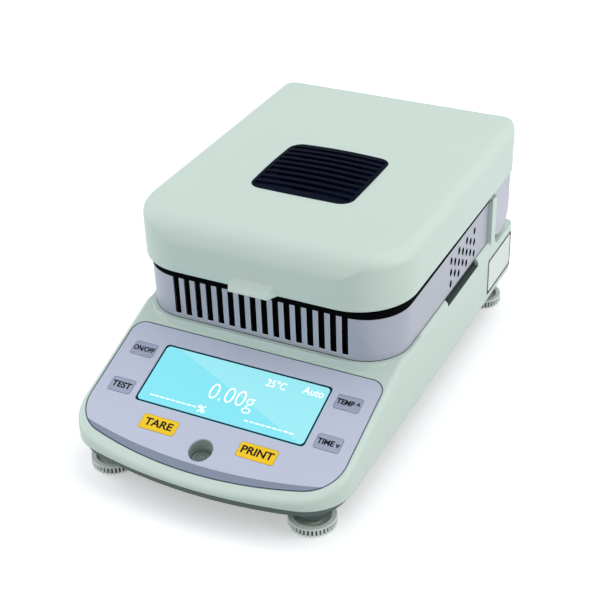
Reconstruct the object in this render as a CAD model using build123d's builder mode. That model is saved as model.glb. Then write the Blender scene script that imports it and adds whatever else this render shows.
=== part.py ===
from build123d import *
from math import cos, radians, sin, sqrt, tan
import os

# Moisture analyzer. Millimetres, X to the right, Y to the back, Z up.
# The origin is on the bench, under the middle of the base.

# Base, seen from above
base_width = 204.0
base_length = 358.0
base_bow = 320.0
base_front_round = 34.0
base_rear_round = 7.0
cover_bottom = 26.0
cover_wall = 3.0
cover_edge_round = 4.0
front_lift = 2.8
front_lift_length = 48.0
cut_over = 1.0
sharp_round = 0.5
chamber_opening = 144.0
deck_height = 76.0
rear_deck_height = 68.0

# Control panel, measured in its own sloped plane
panel_slope = 19.0
screen_from_front = 70.8
screen_centre_z = 56.6
screen_width = 130.0
screen_height = 50.0
screen_round = 3.0
overlay_width = 196.0
overlay_top = 39.2
overlay_front = 66.4
overlay_bow = 293.0
overlay_top_round = 10.0
overlay_front_round = 28.0
overlay_thickness = 0.5
overlay_gap = 0.4
stripe_depth = 6.8
stripe_bow = 385.0

# Keys
key_size = (18.0, 11.5)
wide_key_size = (27.5, 11.5)
key_round = 1.5
key_side_x = 79.5
key_upper_v = 15.8
key_lower_v = -17.1
wide_key_x = 37.5
wide_key_v = -38.8
key_proud = 0.25
key_gap = 0.25
key_flange = 1.0
key_flange_thickness = 0.8
key_rest_gap = 0.1
key_travel = 0.6
switch_size = 6.0
board_depth = 8.5
board_thickness = 1.6
board_boss_radius = 3.0
board_size = (180.0, 72.0)
board_centre_v = -9.5
key_edge_round = 0.2

# Display
lens_thickness = 2.0
lens_ledge = 2.0
lcd_margin = 3.0
lcd_gap = 0.3

# Spirit level
level_from_front = 25.2
level_hole_radius = 8.5
level_sleeve_wall = 1.5
level_bottom = 28.0
level_height = 7.5
level_wall = 1.0
level_fit = 0.25

# Chamber housing and its louvres
housing_width = 198.2
housing_front = -65.4
housing_rear = 123.0
housing_front_round = 33.0
housing_rear_round = 2.0
housing_wall = 3.0
housing_top_front = 109.8
housing_top_rear = 113.0
louvre_depth = 8.0
louvre_count = 16
louvre_pitch = 8.7
louvre_width = 4.7
louvre_angle = 27.0
louvre_bottom = 79.6
vent_columns = 7
vent_pitch_y = 8.05
vent_pitch_z = 9.6
vent_first_y = 42.8
vent_top_z = 102.3
vent_size = (6.4, 3.6)
plinth_reach = 2.4
plinth_front_reach = 3.4
notch_y = 63.0
notch_length = 64.0
notch_height = 5.5
notch_depth = 6.0

# Chamber
chamber_y = 35.3
liner_top = 116.5
liner_plate = 3.0
liner_inset = 2.2
liner_skirt = 2.0
liner_clear = 0.3
well_radius = 60.0
well_wall = 2.0
well_floor = 88.0
well_lip_round = 1.5
stem_hole_radius = 9.0
floor_plate_thickness = 1.0
shield_radius = 54.0
shield_wall = 1.2
shield_top = 106.0
shield_foot = 3.0
pan_radius = 46.0
pan_rim_radius = 47.5
pan_bottom = 99.6
pan_height = 7.0
pan_wall = 0.6
pan_rim_width = 1.5
pan_seat_gap = 0.1
support_thickness = 2.5
support_ring_width = 4.0
support_ring_radius = 40.0
support_arm_width = 6.0
support_hub_radius = 8.0
stem_radius = 4.0

# Load cell
cell_width = 30.0
cell_height = 22.0
cell_length = 92.0
cell_overhang = 12.0
cell_bottom = 38.0
cell_bore = 7.0
cell_bore_offset = 6.0
cell_seat = 24.0
bracket_foot = 4.0
cell_stem_gap = 0.4

# Lid
lid_width = 205.0
lid_front = -72.8
lid_rear = 178.2
lid_front_round = 42.0
lid_rear_round = 15.0
lid_bottom = 118.8
lid_top = 157.0
lid_wall = 3.0
lid_edge_round = 9.0
lid_shoulder_round = 18.0
lid_overrun = 42.0
lid_screw_boss_radius = 4.0
tab_width = 30.0
tab_root_width = 46.0
tab_taper = 28.0
tab_reach = 8.0
tab_height = 8.0
tab_lip = 2.0
grille_width = 80.2
grille_length = 77.1
grille_round = 10.0
grille_fit = 0.2
grille_dome = 500.0
grille_thickness = 3.5
grille_rise = 2.4
grille_rim = 2.0
grille_flange = 3.0
grille_flange_thickness = 1.5
grille_margin = 3.0
grille_slots = 9
grille_pitch = 7.7
grille_slot = 4.4
grille_open_radius = 31.0
grille_groove = 1.4
liner_plate_recess = 0.5
lid_liner_thickness = 3.0
lid_liner_fit = 0.3
glass_radius = 50.0
glass_thickness = 2.0
glass_lip = 4.0
glass_lip_thickness = 1.8
glass_fit = 0.3
ring_width = 4.0
ring_thickness = 1.2
reflector_opening = 29.0
reflector_top_radius = 40.0
reflector_height = 21.0
reflector_wall = 1.0
lamp_ring_radius = 34.0
lamp_tube_radius = 4.0
lamp_rise = 9.0
lamp_leg_radius = 3.5
lamp_leg_angle = 14.0
lamp_leg_length = 15.0
lamp_fit = 0.2
holder_size = (30.0, 12.0, 5.0)
holder_round = 1.0
probe_radius = 1.5
probe_offset = 56.5
probe_drop = 6.0
probe_collar_radius = 2.4
probe_collar_height = 1.6
probe_gap = 0.1

# Hinge
pivot_y = 152.0
pivot_z = 88.5
lobe_radius = 18.5
lobe_inset = 3.0
arm_width = 15.5
arm_wall = 2.0
pin_end_gap = 0.3
hinge_pin_radius = 4.0
hinge_running_gap = 0.05
hinge_bush_wall = 2.0
hinge_pin_hold = 24.0
hinge_side_gap = 0.5
hinge_cavity_wall = 2.5
hinge_deck_step = 19.5
post_step = 4.0
post_top = 113.0
post_root_round = 8.0
buffer_radius = 5.0
buffer_gap = 0.1
buffer_place = (70.0, -42.0)

# Bottom pan and feet
pan_plate_bottom = 21.5
pan_plate_thickness = 3.0
pan_inset = 3.4
pan_lip_height = 5.0
pan_lip_wall = 2.0
boss_top_radius = 13.0
boss_tip_radius = 8.5
boss_bottom = 7.5
front_foot_inset = (25.1, 33.4)
rear_foot_inset = (18.0, 21.5)
wheel_radius = 16.5
wheel_bottom = 1.2
wheel_height = 6.5
wheel_rim = 2.6
wheel_floor = 3.0
wheel_teeth = 36
tooth_depth = 1.0
tooth_width = 1.4
tooth_rim = 1.2
pad_radius = 12.0
pad_recess = 1.0
pad_gap = 0.3
pad_seat_gap = 0.1
pad_pivot_radius = 3.0
pad_pivot_height = 1.0
pad_pivot_gap = 0.05
stud_radius = 3.0
stud_top = 25.0
stud_gap = 0.05
stud_hole_gap = 0.6
insert_wall = 2.0
insert_length = 10.0
foot_stop_gap = 0.1

# Electronics and rear panel
standoff_height = 5.0
main_board_size = (64.0, 120.0)
main_board_x = -52.0
main_board_y = 0.0
main_board_thickness = 1.6
board_part_height = 9.0
board_part_size = (13.0, 15.0)
board_part_pitch = (21.0, 30.0)
supply_size = (52.0, 70.0, 36.0)
supply_chamfer = 2.0
supply_x = 58.0
supply_y = 55.0
rear_opening_width = 150.0
rear_opening_height = 26.0
rear_opening_z = 46.0
rear_opening_round = 3.0
rear_panel_margin = 3.0
rear_panel_thickness = 2.0
inlet_x = 45.0
inlet_flange = (31.0, 24.0)
inlet_body = (27.0, 19.5)
inlet_flange_thickness = 2.0
panel_cut_gap = 0.2
inlet_depth = 22.0
inlet_socket = (24.2, 16.4)
inlet_socket_depth = 16.0
inlet_round = 2.0
inlet_pin = (2.0, 4.0)
inlet_pin_length = 9.0
inlet_pin_pitch = 7.0
inlet_pin_rise = 4.0
serial_x = -40.0
serial_flange = (31.0, 12.6)
serial_body = (18.0, 10.5)
serial_shell = (17.0, 8.4)
serial_shell_angle = 80.0
serial_round = 1.0
serial_flange_thickness = 0.8
serial_shell_height = 1.8
serial_nut_radius = 2.6
serial_nut_depth = 5.0
serial_depth = 11.0
serial_screw_pitch = 25.0
serial_screw_radius = 1.45
plate_length = 54.0
plate_height = 31.0
plate_thickness = 0.4
plate_from_rear = 33.5
plate_z = 46.5
plate_round = 1.5

# Screws
screw_head_radius = 3.2
screw_head_height = 1.6
screw_radius = 1.6
cover_screw_inset = 12.0
screw_boss_radius = 4.0
screw_boss_gap = 0.1
screw_length = 12.0
screw_hole_gap = 0.1

# Places that follow from the sizes above
half_base = base_width / 2
base_front = -base_length / 2
base_rear = base_length / 2
screen_centre_y = base_front + screen_from_front
level_y = base_front + level_from_front
plate_y = base_rear - plate_from_rear
lobe_outer_x = lid_width / 2 - lobe_inset
lobe_inner_x = lobe_outer_x - arm_width
post_inner_x = lobe_inner_x + post_step
front_foot = (half_base - front_foot_inset[0], base_front + front_foot_inset[1])
rear_foot = (half_base - rear_foot_inset[0], base_rear - rear_foot_inset[1])
cover_screw_x = half_base - cover_screw_inset
slope = radians(panel_slope)
panel = Plane(
    origin=(0, screen_centre_y, screen_centre_z),
    x_dir=(1, 0, 0),
    z_dir=(0, -sin(slope), cos(slope)),
)
lid_liner_bottom = lid_bottom + liner_plate_recess
lid_liner_top = lid_liner_bottom + lid_liner_thickness
glass_bottom = lid_liner_bottom + glass_lip_thickness
pan_floor = pan_plate_bottom + pan_plate_thickness
foot_places = {
    "front_left": (-front_foot[0], front_foot[1]),
    "front_right": (front_foot[0], front_foot[1]),
    "rear_left": (-rear_foot[0], rear_foot[1]),
    "rear_right": (rear_foot[0], rear_foot[1]),
}
key_places = {
    "key_power": (-key_side_x, key_upper_v, key_size),
    "key_test": (-key_side_x, key_lower_v, key_size),
    "key_temperature": (key_side_x, key_upper_v, key_size),
    "key_time": (key_side_x, key_lower_v, key_size),
    "key_tare": (-wide_key_x, wide_key_v, wide_key_size),
    "key_print": (wide_key_x, wide_key_v, wide_key_size),
}
board_bosses = [
    (0, -30.0),
    (-86.0, -0.6),
    (86.0, -0.6),
    (-62.0, -40.0),
    (62.0, -40.0),
]
cover_screw_places = [
    (-cover_screw_x, -60.0),
    (cover_screw_x, -60.0),
    (-cover_screw_x, 105.0),
    (cover_screw_x, 105.0),
]
lid_screw_places = [
    (-85.0, -40.0),
    (85.0, -40.0),
    (-85.0, 120.0),
    (85.0, 120.0),
]


def panel_height(y):
    # Height of the sloped panel surface above the bench
    return screen_centre_z + (y - screen_centre_y) * tan(slope)


def panel_deck_y():
    # Where the sloped panel reaches the height of the deck
    return screen_centre_y + (deck_height - screen_centre_z) / tan(slope)


def sagitta(radius, half_chord):
    return radius - sqrt(radius**2 - half_chord**2)


def base_outline(inset):
    half = half_base - inset
    front = base_front + inset
    rear = base_rear - inset
    side_front = front + sagitta(base_bow - inset, half)
    with BuildSketch() as outline:
        with BuildLine():
            ThreePointArc((-half, side_front), (0, front), (half, side_front))
            Polyline((half, side_front), (half, rear), (-half, rear), (-half, side_front))
        make_face()
        corners = outline.vertices().group_by(Axis.Y)
        fillet(corners[0], base_front_round - inset)
        fillet(outline.vertices().group_by(Axis.Y)[-1], base_rear_round - inset)
    return outline.sketch


def round_front_outline(width, front, rear, front_round, rear_round):
    with BuildSketch() as outline:
        with Locations((0, (front + rear) / 2)):
            Rectangle(width, rear - front)
        fillet(outline.vertices().group_by(Axis.Y)[0], front_round)
        fillet(outline.vertices().group_by(Axis.Y)[-1], rear_round)
    return outline.sketch


def housing_outline(inset):
    return round_front_outline(
        housing_width - 2 * inset,
        housing_front + inset,
        housing_rear - inset,
        housing_front_round - inset,
        max(housing_rear_round - inset, sharp_round),
    )


def overlay_outline(inset):
    half = overlay_width / 2 - inset
    front = -overlay_front + inset
    side_front = front + sagitta(overlay_bow - inset, half)
    with BuildSketch() as outline:
        with BuildLine():
            ThreePointArc((-half, side_front), (0, front), (half, side_front))
            Polyline(
                (half, side_front),
                (half, overlay_top - inset),
                (-half, overlay_top - inset),
                (-half, side_front),
            )
        make_face()
        fillet(outline.vertices().group_by(Axis.Y)[0], overlay_front_round - inset)
        fillet(outline.vertices().group_by(Axis.Y)[-1], overlay_top_round - inset)
    return outline.sketch


def stripe_outline():
    half = overlay_width / 2
    edge = -overlay_front + stripe_depth
    side = edge + sagitta(stripe_bow, half)
    with BuildSketch() as outline:
        add(overlay_outline(0))
        with BuildSketch(mode=Mode.INTERSECT):
            with BuildLine():
                ThreePointArc((-half, side), (0, edge), (half, side))
                Polyline((half, side), (half, -overlay_front), (-half, -overlay_front), (-half, side))
            make_face()
    return outline.sketch


def save(piece, name):
    piece.part.label = name
    export_step(piece.part, "parts/" + name + ".step")


def save_at(piece, name, place):
    moved_part = piece.part.moved(Location((place[0], place[1], 0)))
    moved_part.label = name
    export_step(moved_part, "parts/" + name + ".step")


def lid_form(inset, top):
    # The box runs on past the back and is cut off there by an upright outline
    front = lid_front + inset
    shoulder = lid_shoulder_round - inset
    back = lid_rear + lid_overrun
    with BuildPart() as form:
        with BuildSketch(Plane.XY.offset(lid_bottom)):
            add(
                round_front_outline(
                    lid_width - 2 * inset, front, back, lid_front_round - inset, lid_rear_round
                )
            )
        extrude(amount=top - lid_bottom)
        fillet(form.faces().sort_by(Axis.Z)[-1].edges(), lid_edge_round - inset)
        with BuildSketch(Plane.YZ):
            with BuildLine():
                Polyline((front, top - shoulder), (front, lid_bottom), (back, lid_bottom), (back, top))
                Line((back, top), (front + shoulder, top))
                RadiusArc((front + shoulder, top), (front, top - shoulder), -shoulder)
            make_face()
        extrude(amount=lid_width, both=True, mode=Mode.INTERSECT)
        with BuildSketch(Plane.XY.offset(lid_bottom)):
            add(
                round_front_outline(
                    lid_width - 2 * inset,
                    lid_front - lid_front_round,
                    lid_rear - inset,
                    sharp_round,
                    lid_rear_round - inset,
                )
            )
        extrude(amount=top - lid_bottom, mode=Mode.INTERSECT)
    return form.part


os.makedirs("parts", exist_ok=True)


# Base cover: outer form first, then the hollow, then its openings
with BuildPart() as cover_body:
    with BuildSketch(Plane.XY.offset(cover_bottom)):
        add(base_outline(0))
    extrude(amount=deck_height - cover_bottom)
    with BuildSketch(Plane.YZ):
        with BuildLine():
            Polyline(
                (base_front - cover_wall, cover_bottom + front_lift),
                (base_front, cover_bottom + front_lift),
                (base_front + front_lift_length, cover_bottom),
                (base_rear + cover_wall, cover_bottom),
                (base_rear + cover_wall, rear_deck_height),
                (pivot_y - hinge_deck_step, rear_deck_height),
                (pivot_y - hinge_deck_step, deck_height),
                (panel_deck_y(), deck_height),
                (base_front - cover_wall, panel_height(base_front - cover_wall)),
                close=True,
            )
        make_face()
    extrude(amount=half_base, both=True, mode=Mode.INTERSECT)
    top_edges = [
        edge
        for edge in cover_body.edges()
        if edge.center().Z > cover_bottom + front_lift + cut_over / 2
        and edge.center().Y < pivot_y - hinge_deck_step - cut_over
        and max(abs(edge.center().X) - half_base, base_front - edge.center().Y) > -base_rear_round
        and edge.bounding_box().size.Z < edge.length / 2
    ]
    fillet(top_edges, cover_edge_round)

with BuildPart() as cover_hollow:
    with BuildSketch(Plane.XY.offset(cover_bottom)):
        add(base_outline(cover_wall))
    extrude(amount=deck_height - cover_bottom)
    drop = cover_wall / cos(slope) + overlay_thickness
    with BuildSketch(Plane.YZ):
        with BuildLine():
            Polyline(
                (base_front, cover_bottom),
                (base_rear, cover_bottom),
                (base_rear, rear_deck_height - cover_wall),
                (pivot_y - hinge_deck_step - cover_wall, rear_deck_height - cover_wall),
                (pivot_y - hinge_deck_step - cover_wall, deck_height - cover_wall),
                (panel_deck_y(), deck_height - cover_wall),
                (base_front, panel_height(base_front) - drop),
                close=True,
            )
        make_face()
    extrude(amount=half_base, both=True, mode=Mode.INTERSECT)

with BuildPart() as level_sleeve:
    with BuildSketch(Plane.XY.offset(level_bottom)):
        with Locations((0, level_y)):
            Circle(level_hole_radius + level_sleeve_wall)
    extrude(amount=deck_height - level_bottom)
    with BuildSketch(panel.offset(-cover_wall)):
        Rectangle(base_width, base_length)
    extrude(amount=deck_height, mode=Mode.SUBTRACT)

with BuildPart() as base_cover:
    add(cover_body.part)
    # Plinth that the chamber housing stands on
    with BuildSketch(Plane.XY.offset(rear_deck_height - cover_wall)):
        add(
            round_front_outline(
                housing_width + 2 * plinth_reach,
                housing_front - plinth_front_reach,
                panel_deck_y() + housing_front_round,
                housing_front_round + plinth_reach,
                sharp_round,
            )
        )
    extrude(amount=deck_height - rear_deck_height + cover_wall)
    add(cover_hollow.part, mode=Mode.SUBTRACT)
    # Rear posts between the chamber housing and the hinge arms
    post_rear = pivot_y - hinge_deck_step
    for side in (-1, 1):
        with BuildSketch(Plane.XY.offset(deck_height - cover_wall)):
            with Locations((side * (post_inner_x + half_base) / 2, (housing_rear + post_rear) / 2)):
                Rectangle(half_base - post_inner_x, post_rear - housing_rear - liner_clear)
        extrude(amount=post_top - deck_height + cover_wall)
    # Rounded foot of each post
    for side_x in (-half_base, lobe_inner_x):
        with BuildSketch(Plane.YZ.offset(side_x)):
            with BuildLine():
                JernArc((post_rear, rear_deck_height + post_root_round), (0, -1), post_root_round, 90)
                Polyline(
                    (post_rear + post_root_round, rear_deck_height),
                    (post_rear - cut_over, rear_deck_height),
                    (post_rear - cut_over, rear_deck_height + post_root_round),
                    (post_rear, rear_deck_height + post_root_round),
                )
            make_face()
        extrude(amount=half_base - lobe_inner_x)
    # Opening under the chamber
    with BuildSketch(Plane.XY.offset(rear_deck_height - 2 * cover_wall)):
        with Locations((0, chamber_y)):
            Rectangle(chamber_opening, chamber_opening)
    extrude(amount=3 * cover_wall + deck_height - rear_deck_height, mode=Mode.SUBTRACT)
    # Notch in each side, just below the chamber housing
    for side in (-1, 1):
        with BuildSketch(Plane.XY.offset(deck_height - notch_height)):
            with Locations((side * (half_base - notch_depth / 2 + cut_over / 2), notch_y)):
                Rectangle(notch_depth + cut_over, notch_length)
        extrude(amount=notch_height, mode=Mode.SUBTRACT)
        with BuildSketch(Plane.XY.offset(deck_height - notch_height - cover_wall)):
            with Locations((side * (half_base - notch_depth - cover_wall / 2), notch_y)):
                Rectangle(cover_wall, notch_length + 2 * cover_wall)
        extrude(amount=notch_height + cover_wall)
        with BuildSketch(Plane.XY.offset(deck_height - notch_height - cover_wall)):
            with Locations((side * (half_base - (notch_depth + 2 * cover_wall) / 2), notch_y)):
                Rectangle(notch_depth, notch_length + 2 * cover_wall)
        extrude(amount=cover_wall)
    # Recess of the overlay, seat of the display window and the key holes
    with BuildSketch(panel.offset(-overlay_thickness)):
        add(overlay_outline(-overlay_gap))
    extrude(amount=overlay_thickness + cover_edge_round, mode=Mode.SUBTRACT)
    with BuildSketch(panel.offset(-lens_thickness)):
        RectangleRounded(screen_width, screen_height, screen_round)
    extrude(amount=lens_thickness + cut_over, mode=Mode.SUBTRACT)
    with BuildSketch(panel.offset(-2 * cover_wall)):
        RectangleRounded(screen_width - 2 * lens_ledge, screen_height - 2 * lens_ledge, screen_round)
    extrude(amount=2 * cover_wall, mode=Mode.SUBTRACT)
    for place_x, place_v, size in key_places.values():
        with BuildSketch(panel.offset(-2 * cover_wall)):
            with Locations((place_x, place_v)):
                RectangleRounded(size[0] + 2 * key_gap, size[1] + 2 * key_gap, key_round + key_gap)
        extrude(amount=2 * cover_wall, mode=Mode.SUBTRACT)
    # Bosses that carry the display board
    with BuildSketch(panel.offset(-board_depth)):
        with Locations(*board_bosses):
            Circle(board_boss_radius)
    extrude(amount=board_depth - overlay_thickness - cover_wall / 2)
    # Sleeve and hole of the spirit level
    add(level_sleeve.part)
    with BuildSketch(Plane.XY.offset(level_bottom)):
        with Locations((0, level_y)):
            Circle(level_hole_radius)
    extrude(amount=deck_height - level_bottom, mode=Mode.SUBTRACT)
    # Opening for the rear panel
    with BuildSketch(Plane.XZ.offset(-base_rear - cut_over)):
        with Locations((0, rear_opening_z)):
            RectangleRounded(rear_opening_width, rear_opening_height, rear_opening_round)
    extrude(amount=2 * cover_wall, mode=Mode.SUBTRACT)
    # Bosses for the screws that hold the bottom pan
    for boss_x, boss_y in cover_screw_places:
        roof = min(deck_height, panel_height(boss_y)) - cover_wall / 2
        with BuildSketch(Plane.XY.offset(pan_floor + screw_boss_gap)):
            with Locations((boss_x, boss_y)):
                Circle(screw_boss_radius)
                Circle(screw_radius, mode=Mode.SUBTRACT)
        extrude(amount=roof - pan_floor - screw_boss_gap)
save(base_cover, "base_cover")


# Control panel: overlay, its stripe, display window, display and board
with BuildPart() as panel_overlay:
    with BuildSketch(panel.offset(-overlay_thickness)):
        add(overlay_outline(0))
        add(stripe_outline(), mode=Mode.SUBTRACT)
        RectangleRounded(
            screen_width + 2 * key_gap,
            screen_height + 2 * key_gap,
            screen_round + key_gap,
            mode=Mode.SUBTRACT,
        )
        for place_x, place_v, size in key_places.values():
            with Locations((place_x, place_v)):
                RectangleRounded(
                    size[0] + 2 * key_gap, size[1] + 2 * key_gap, key_round + key_gap, mode=Mode.SUBTRACT
                )
    extrude(amount=overlay_thickness)
    with BuildSketch(Plane.XY.offset(level_bottom)):
        with Locations((0, level_y)):
            Circle(level_hole_radius)
    extrude(amount=deck_height - level_bottom, mode=Mode.SUBTRACT)
save(panel_overlay, "panel_overlay")

with BuildPart() as panel_stripe:
    with BuildSketch(panel.offset(-overlay_thickness)):
        add(stripe_outline())
    extrude(amount=overlay_thickness)
save(panel_stripe, "panel_stripe")

with BuildPart() as display_window:
    with BuildSketch(panel.offset(-lens_thickness)):
        RectangleRounded(screen_width, screen_height, screen_round)
    extrude(amount=lens_thickness)
save(display_window, "display_window")

with BuildPart() as lcd_module:
    with BuildSketch(panel.offset(-board_depth)):
        Rectangle(screen_width - 2 * lcd_margin, screen_height - 2 * lcd_margin)
    extrude(amount=board_depth - lens_thickness - lcd_gap)
save(lcd_module, "lcd_module")

key_bottom = cover_wall + overlay_thickness + key_rest_gap + key_flange_thickness
switch_top = key_bottom + key_travel + key_rest_gap
with BuildPart() as display_board:
    with BuildSketch(panel.offset(-board_depth - board_thickness)):
        with Locations((0, board_centre_v)):
            Rectangle(board_size[0], board_size[1])
        with Locations((0, (level_y - screen_centre_y) / cos(slope))):
            Circle(level_hole_radius + 2 * level_sleeve_wall + cut_over, mode=Mode.SUBTRACT)
    extrude(amount=board_thickness)
    with BuildSketch(panel.offset(-board_depth)):
        for place_x, place_v, size in key_places.values():
            with Locations((place_x, place_v)):
                Rectangle(switch_size, switch_size)
    extrude(amount=board_depth - switch_top)
save(display_board, "display_board")


# Keys: a cap that passes through the cover, held by a flange underneath
for key_name, (place_x, place_v, size) in key_places.items():
    with BuildPart() as key:
        with BuildSketch(panel.offset(-key_bottom)):
            with Locations((place_x, place_v)):
                RectangleRounded(size[0], size[1], key_round)
        extrude(amount=key_bottom + key_proud)
        with BuildSketch(panel.offset(-key_bottom)):
            with Locations((place_x, place_v)):
                RectangleRounded(size[0] + 2 * key_flange, size[1] + 2 * key_flange, key_round)
        extrude(amount=key_flange_thickness)
        fillet(key.faces().sort_by(Axis(panel.origin, panel.z_dir))[-1].edges(), key_edge_round)
    save(key, key_name)


# Spirit level: a cup in the sleeve of the cover, with its vial
with BuildPart() as level_cup:
    with BuildSketch(Plane.XY.offset(level_bottom)):
        with Locations((0, level_y)):
            Circle(level_hole_radius - level_fit)
    extrude(amount=level_height)
    with BuildSketch(Plane.XY.offset(level_bottom + level_wall)):
        with Locations((0, level_y)):
            Circle(level_hole_radius - level_fit - level_wall)
    extrude(amount=level_height, mode=Mode.SUBTRACT)
save(level_cup, "level_cup")

with BuildPart() as level_vial:
    with BuildSketch(Plane.XY.offset(level_bottom + level_wall)):
        with Locations((0, level_y)):
            Circle(level_hole_radius - level_fit - level_wall - level_fit)
    extrude(amount=level_height - level_wall - level_fit)
save(level_vial, "level_vial")


# Chamber housing with oblique louvres in front and vents on both sides
with BuildPart() as chamber_housing:
    with BuildSketch(Plane.XY.offset(deck_height)):
        add(housing_outline(0))
        with BuildSketch(mode=Mode.SUBTRACT):
            add(
                round_front_outline(
                    housing_width - 2 * housing_wall,
                    housing_front + louvre_depth,
                    housing_rear - housing_wall,
                    housing_front_round - housing_wall,
                    sharp_round,
                )
            )
    extrude(amount=housing_top_rear - deck_height)
    with BuildSketch(Plane.YZ):
        with BuildLine():
            Polyline(
                (housing_front - cut_over, deck_height),
                (housing_rear, deck_height),
                (housing_rear, housing_top_rear),
                (housing_front - cut_over, housing_top_front),
                close=True,
            )
        make_face()
    extrude(amount=housing_width / 2, both=True, mode=Mode.INTERSECT)
    slant = (louvre_depth + 2 * cut_over) * tan(radians(louvre_angle))
    first_louvre = -louvre_pitch * (louvre_count - 1) / 2
    with BuildSketch(Plane.XY.offset(louvre_bottom)):
        for index in range(louvre_count):
            with Locations((first_louvre + index * louvre_pitch, housing_front)):
                Polygon(
                    (-louvre_width / 2, -cut_over),
                    (louvre_width / 2, -cut_over),
                    (louvre_width / 2 - slant, louvre_depth + cut_over),
                    (-louvre_width / 2 - slant, louvre_depth + cut_over),
                    align=None,
                )
    extrude(amount=housing_top_rear - louvre_bottom, mode=Mode.SUBTRACT)
    with BuildSketch(Plane.YZ.offset(-housing_width / 2 - cut_over)):
        for column in range(vent_columns):
            rows = 3 - column % 2
            column_top = vent_top_z - vent_pitch_z / 2 * (column % 2)
            for row in range(rows):
                with Locations((vent_first_y + column * vent_pitch_y, column_top - row * vent_pitch_z)):
                    SlotOverall(vent_size[0], vent_size[1], rotation=90)
    extrude(amount=housing_width + 2 * cut_over, mode=Mode.SUBTRACT)
save(chamber_housing, "chamber_housing")


# Chamber liner: plate, skirt and the round well
with BuildPart() as chamber_liner:
    with BuildSketch(Plane.XY.offset(liner_top - liner_plate)):
        add(housing_outline(liner_inset))
    extrude(amount=liner_plate)
    skirt_inset = housing_wall + liner_clear
    with BuildSketch(Plane.XY.offset(deck_height)):
        add(
            round_front_outline(
                housing_width - 2 * skirt_inset,
                housing_front + louvre_depth + liner_clear,
                housing_rear - skirt_inset,
                housing_front_round - skirt_inset,
                2 * sharp_round,
            )
        )
        add(
            round_front_outline(
                housing_width - 2 * skirt_inset - 2 * liner_skirt,
                housing_front + louvre_depth + liner_clear + liner_skirt,
                housing_rear - skirt_inset - liner_skirt,
                housing_front_round - skirt_inset - liner_skirt,
                sharp_round,
            ),
            mode=Mode.SUBTRACT,
        )
    extrude(amount=liner_top - liner_plate - deck_height)
    with BuildSketch(Plane.XY.offset(well_floor - well_wall)):
        with Locations((0, chamber_y)):
            Circle(well_radius + well_wall)
    extrude(amount=liner_top - well_floor + well_wall)
    with BuildSketch(Plane.XY.offset(well_floor)):
        with Locations((0, chamber_y)):
            Circle(well_radius)
    extrude(amount=liner_top - well_floor, mode=Mode.SUBTRACT)
    with BuildSketch(Plane.XY.offset(well_floor - well_wall)):
        with Locations((0, chamber_y)):
            Circle(stem_hole_radius)
    extrude(amount=well_wall, mode=Mode.SUBTRACT)
    fillet(
        chamber_liner.edges().filter_by(GeomType.CIRCLE).group_by(Axis.Z)[-1].sort_by(SortBy.RADIUS)[-1],
        well_lip_round,
    )
save(chamber_liner, "chamber_liner")

with BuildPart() as chamber_floor_plate:
    with BuildSketch(Plane.XY.offset(well_floor)):
        with Locations((0, chamber_y)):
            Circle(well_radius - liner_clear)
            Circle(stem_hole_radius, mode=Mode.SUBTRACT)
    extrude(amount=floor_plate_thickness)
save(chamber_floor_plate, "chamber_floor_plate")

shield_bottom = well_floor + floor_plate_thickness
with BuildPart() as draft_shield:
    with BuildSketch(Plane.XY.offset(shield_bottom)):
        with Locations((0, chamber_y)):
            Circle(shield_radius + shield_foot)
            Circle(shield_radius, mode=Mode.SUBTRACT)
    extrude(amount=shield_wall)
    with BuildSketch(Plane.XY.offset(shield_bottom)):
        with Locations((0, chamber_y)):
            Circle(shield_radius + shield_wall)
            Circle(shield_radius, mode=Mode.SUBTRACT)
    extrude(amount=shield_top - shield_bottom)
save(draft_shield, "draft_shield")


# Sample pan, its support and the stem down to the load cell
with BuildPart() as sample_pan:
    with BuildSketch(Plane.XZ.offset(-chamber_y)):
        with BuildLine():
            Polyline(
                (0, pan_bottom),
                (pan_radius, pan_bottom),
                (pan_rim_radius - pan_wall, pan_bottom + pan_height - pan_wall),
                (pan_rim_radius + pan_rim_width, pan_bottom + pan_height - pan_wall),
                (pan_rim_radius + pan_rim_width, pan_bottom + pan_height),
                (pan_rim_radius - 2 * pan_wall, pan_bottom + pan_height),
                (pan_radius - pan_wall, pan_bottom + pan_wall),
                (0, pan_bottom + pan_wall),
                close=True,
            )
        make_face()
    revolve(axis=Axis((0, chamber_y, 0), (0, 0, 1)))
save(sample_pan, "sample_pan")

support_top = pan_bottom - pan_seat_gap
with BuildPart() as pan_support:
    with BuildSketch(Plane.XY.offset(support_top - support_thickness)):
        with Locations((0, chamber_y)):
            Circle(support_ring_radius)
            Circle(support_ring_radius - support_ring_width, mode=Mode.SUBTRACT)
            Circle(support_hub_radius)
            with PolarLocations((support_ring_radius - support_ring_width) / 2, 3, start_angle=90):
                Rectangle(support_ring_radius - support_ring_width, support_arm_width)
    extrude(amount=support_thickness)
save(pan_support, "pan_support")

cell_top = cell_bottom + cell_height
with BuildPart() as weighing_stem:
    with BuildSketch(Plane.XY.offset(cell_top + cell_stem_gap)):
        with Locations((0, chamber_y)):
            Circle(stem_radius)
    extrude(amount=support_top - support_thickness - cell_top - cell_stem_gap)
save(weighing_stem, "weighing_stem")

cell_front = chamber_y - cell_overhang
with BuildPart() as load_cell:
    with BuildSketch(Plane.YZ.offset(-cell_width / 2)):
        with Locations((cell_front + cell_length / 2, cell_bottom + cell_height / 2)):
            Rectangle(cell_length, cell_height)
            with Locations((-cell_bore_offset, 0), (cell_bore_offset, 0)):
                Circle(cell_bore, mode=Mode.SUBTRACT)
    extrude(amount=cell_width)
save(load_cell, "load_cell")

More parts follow.
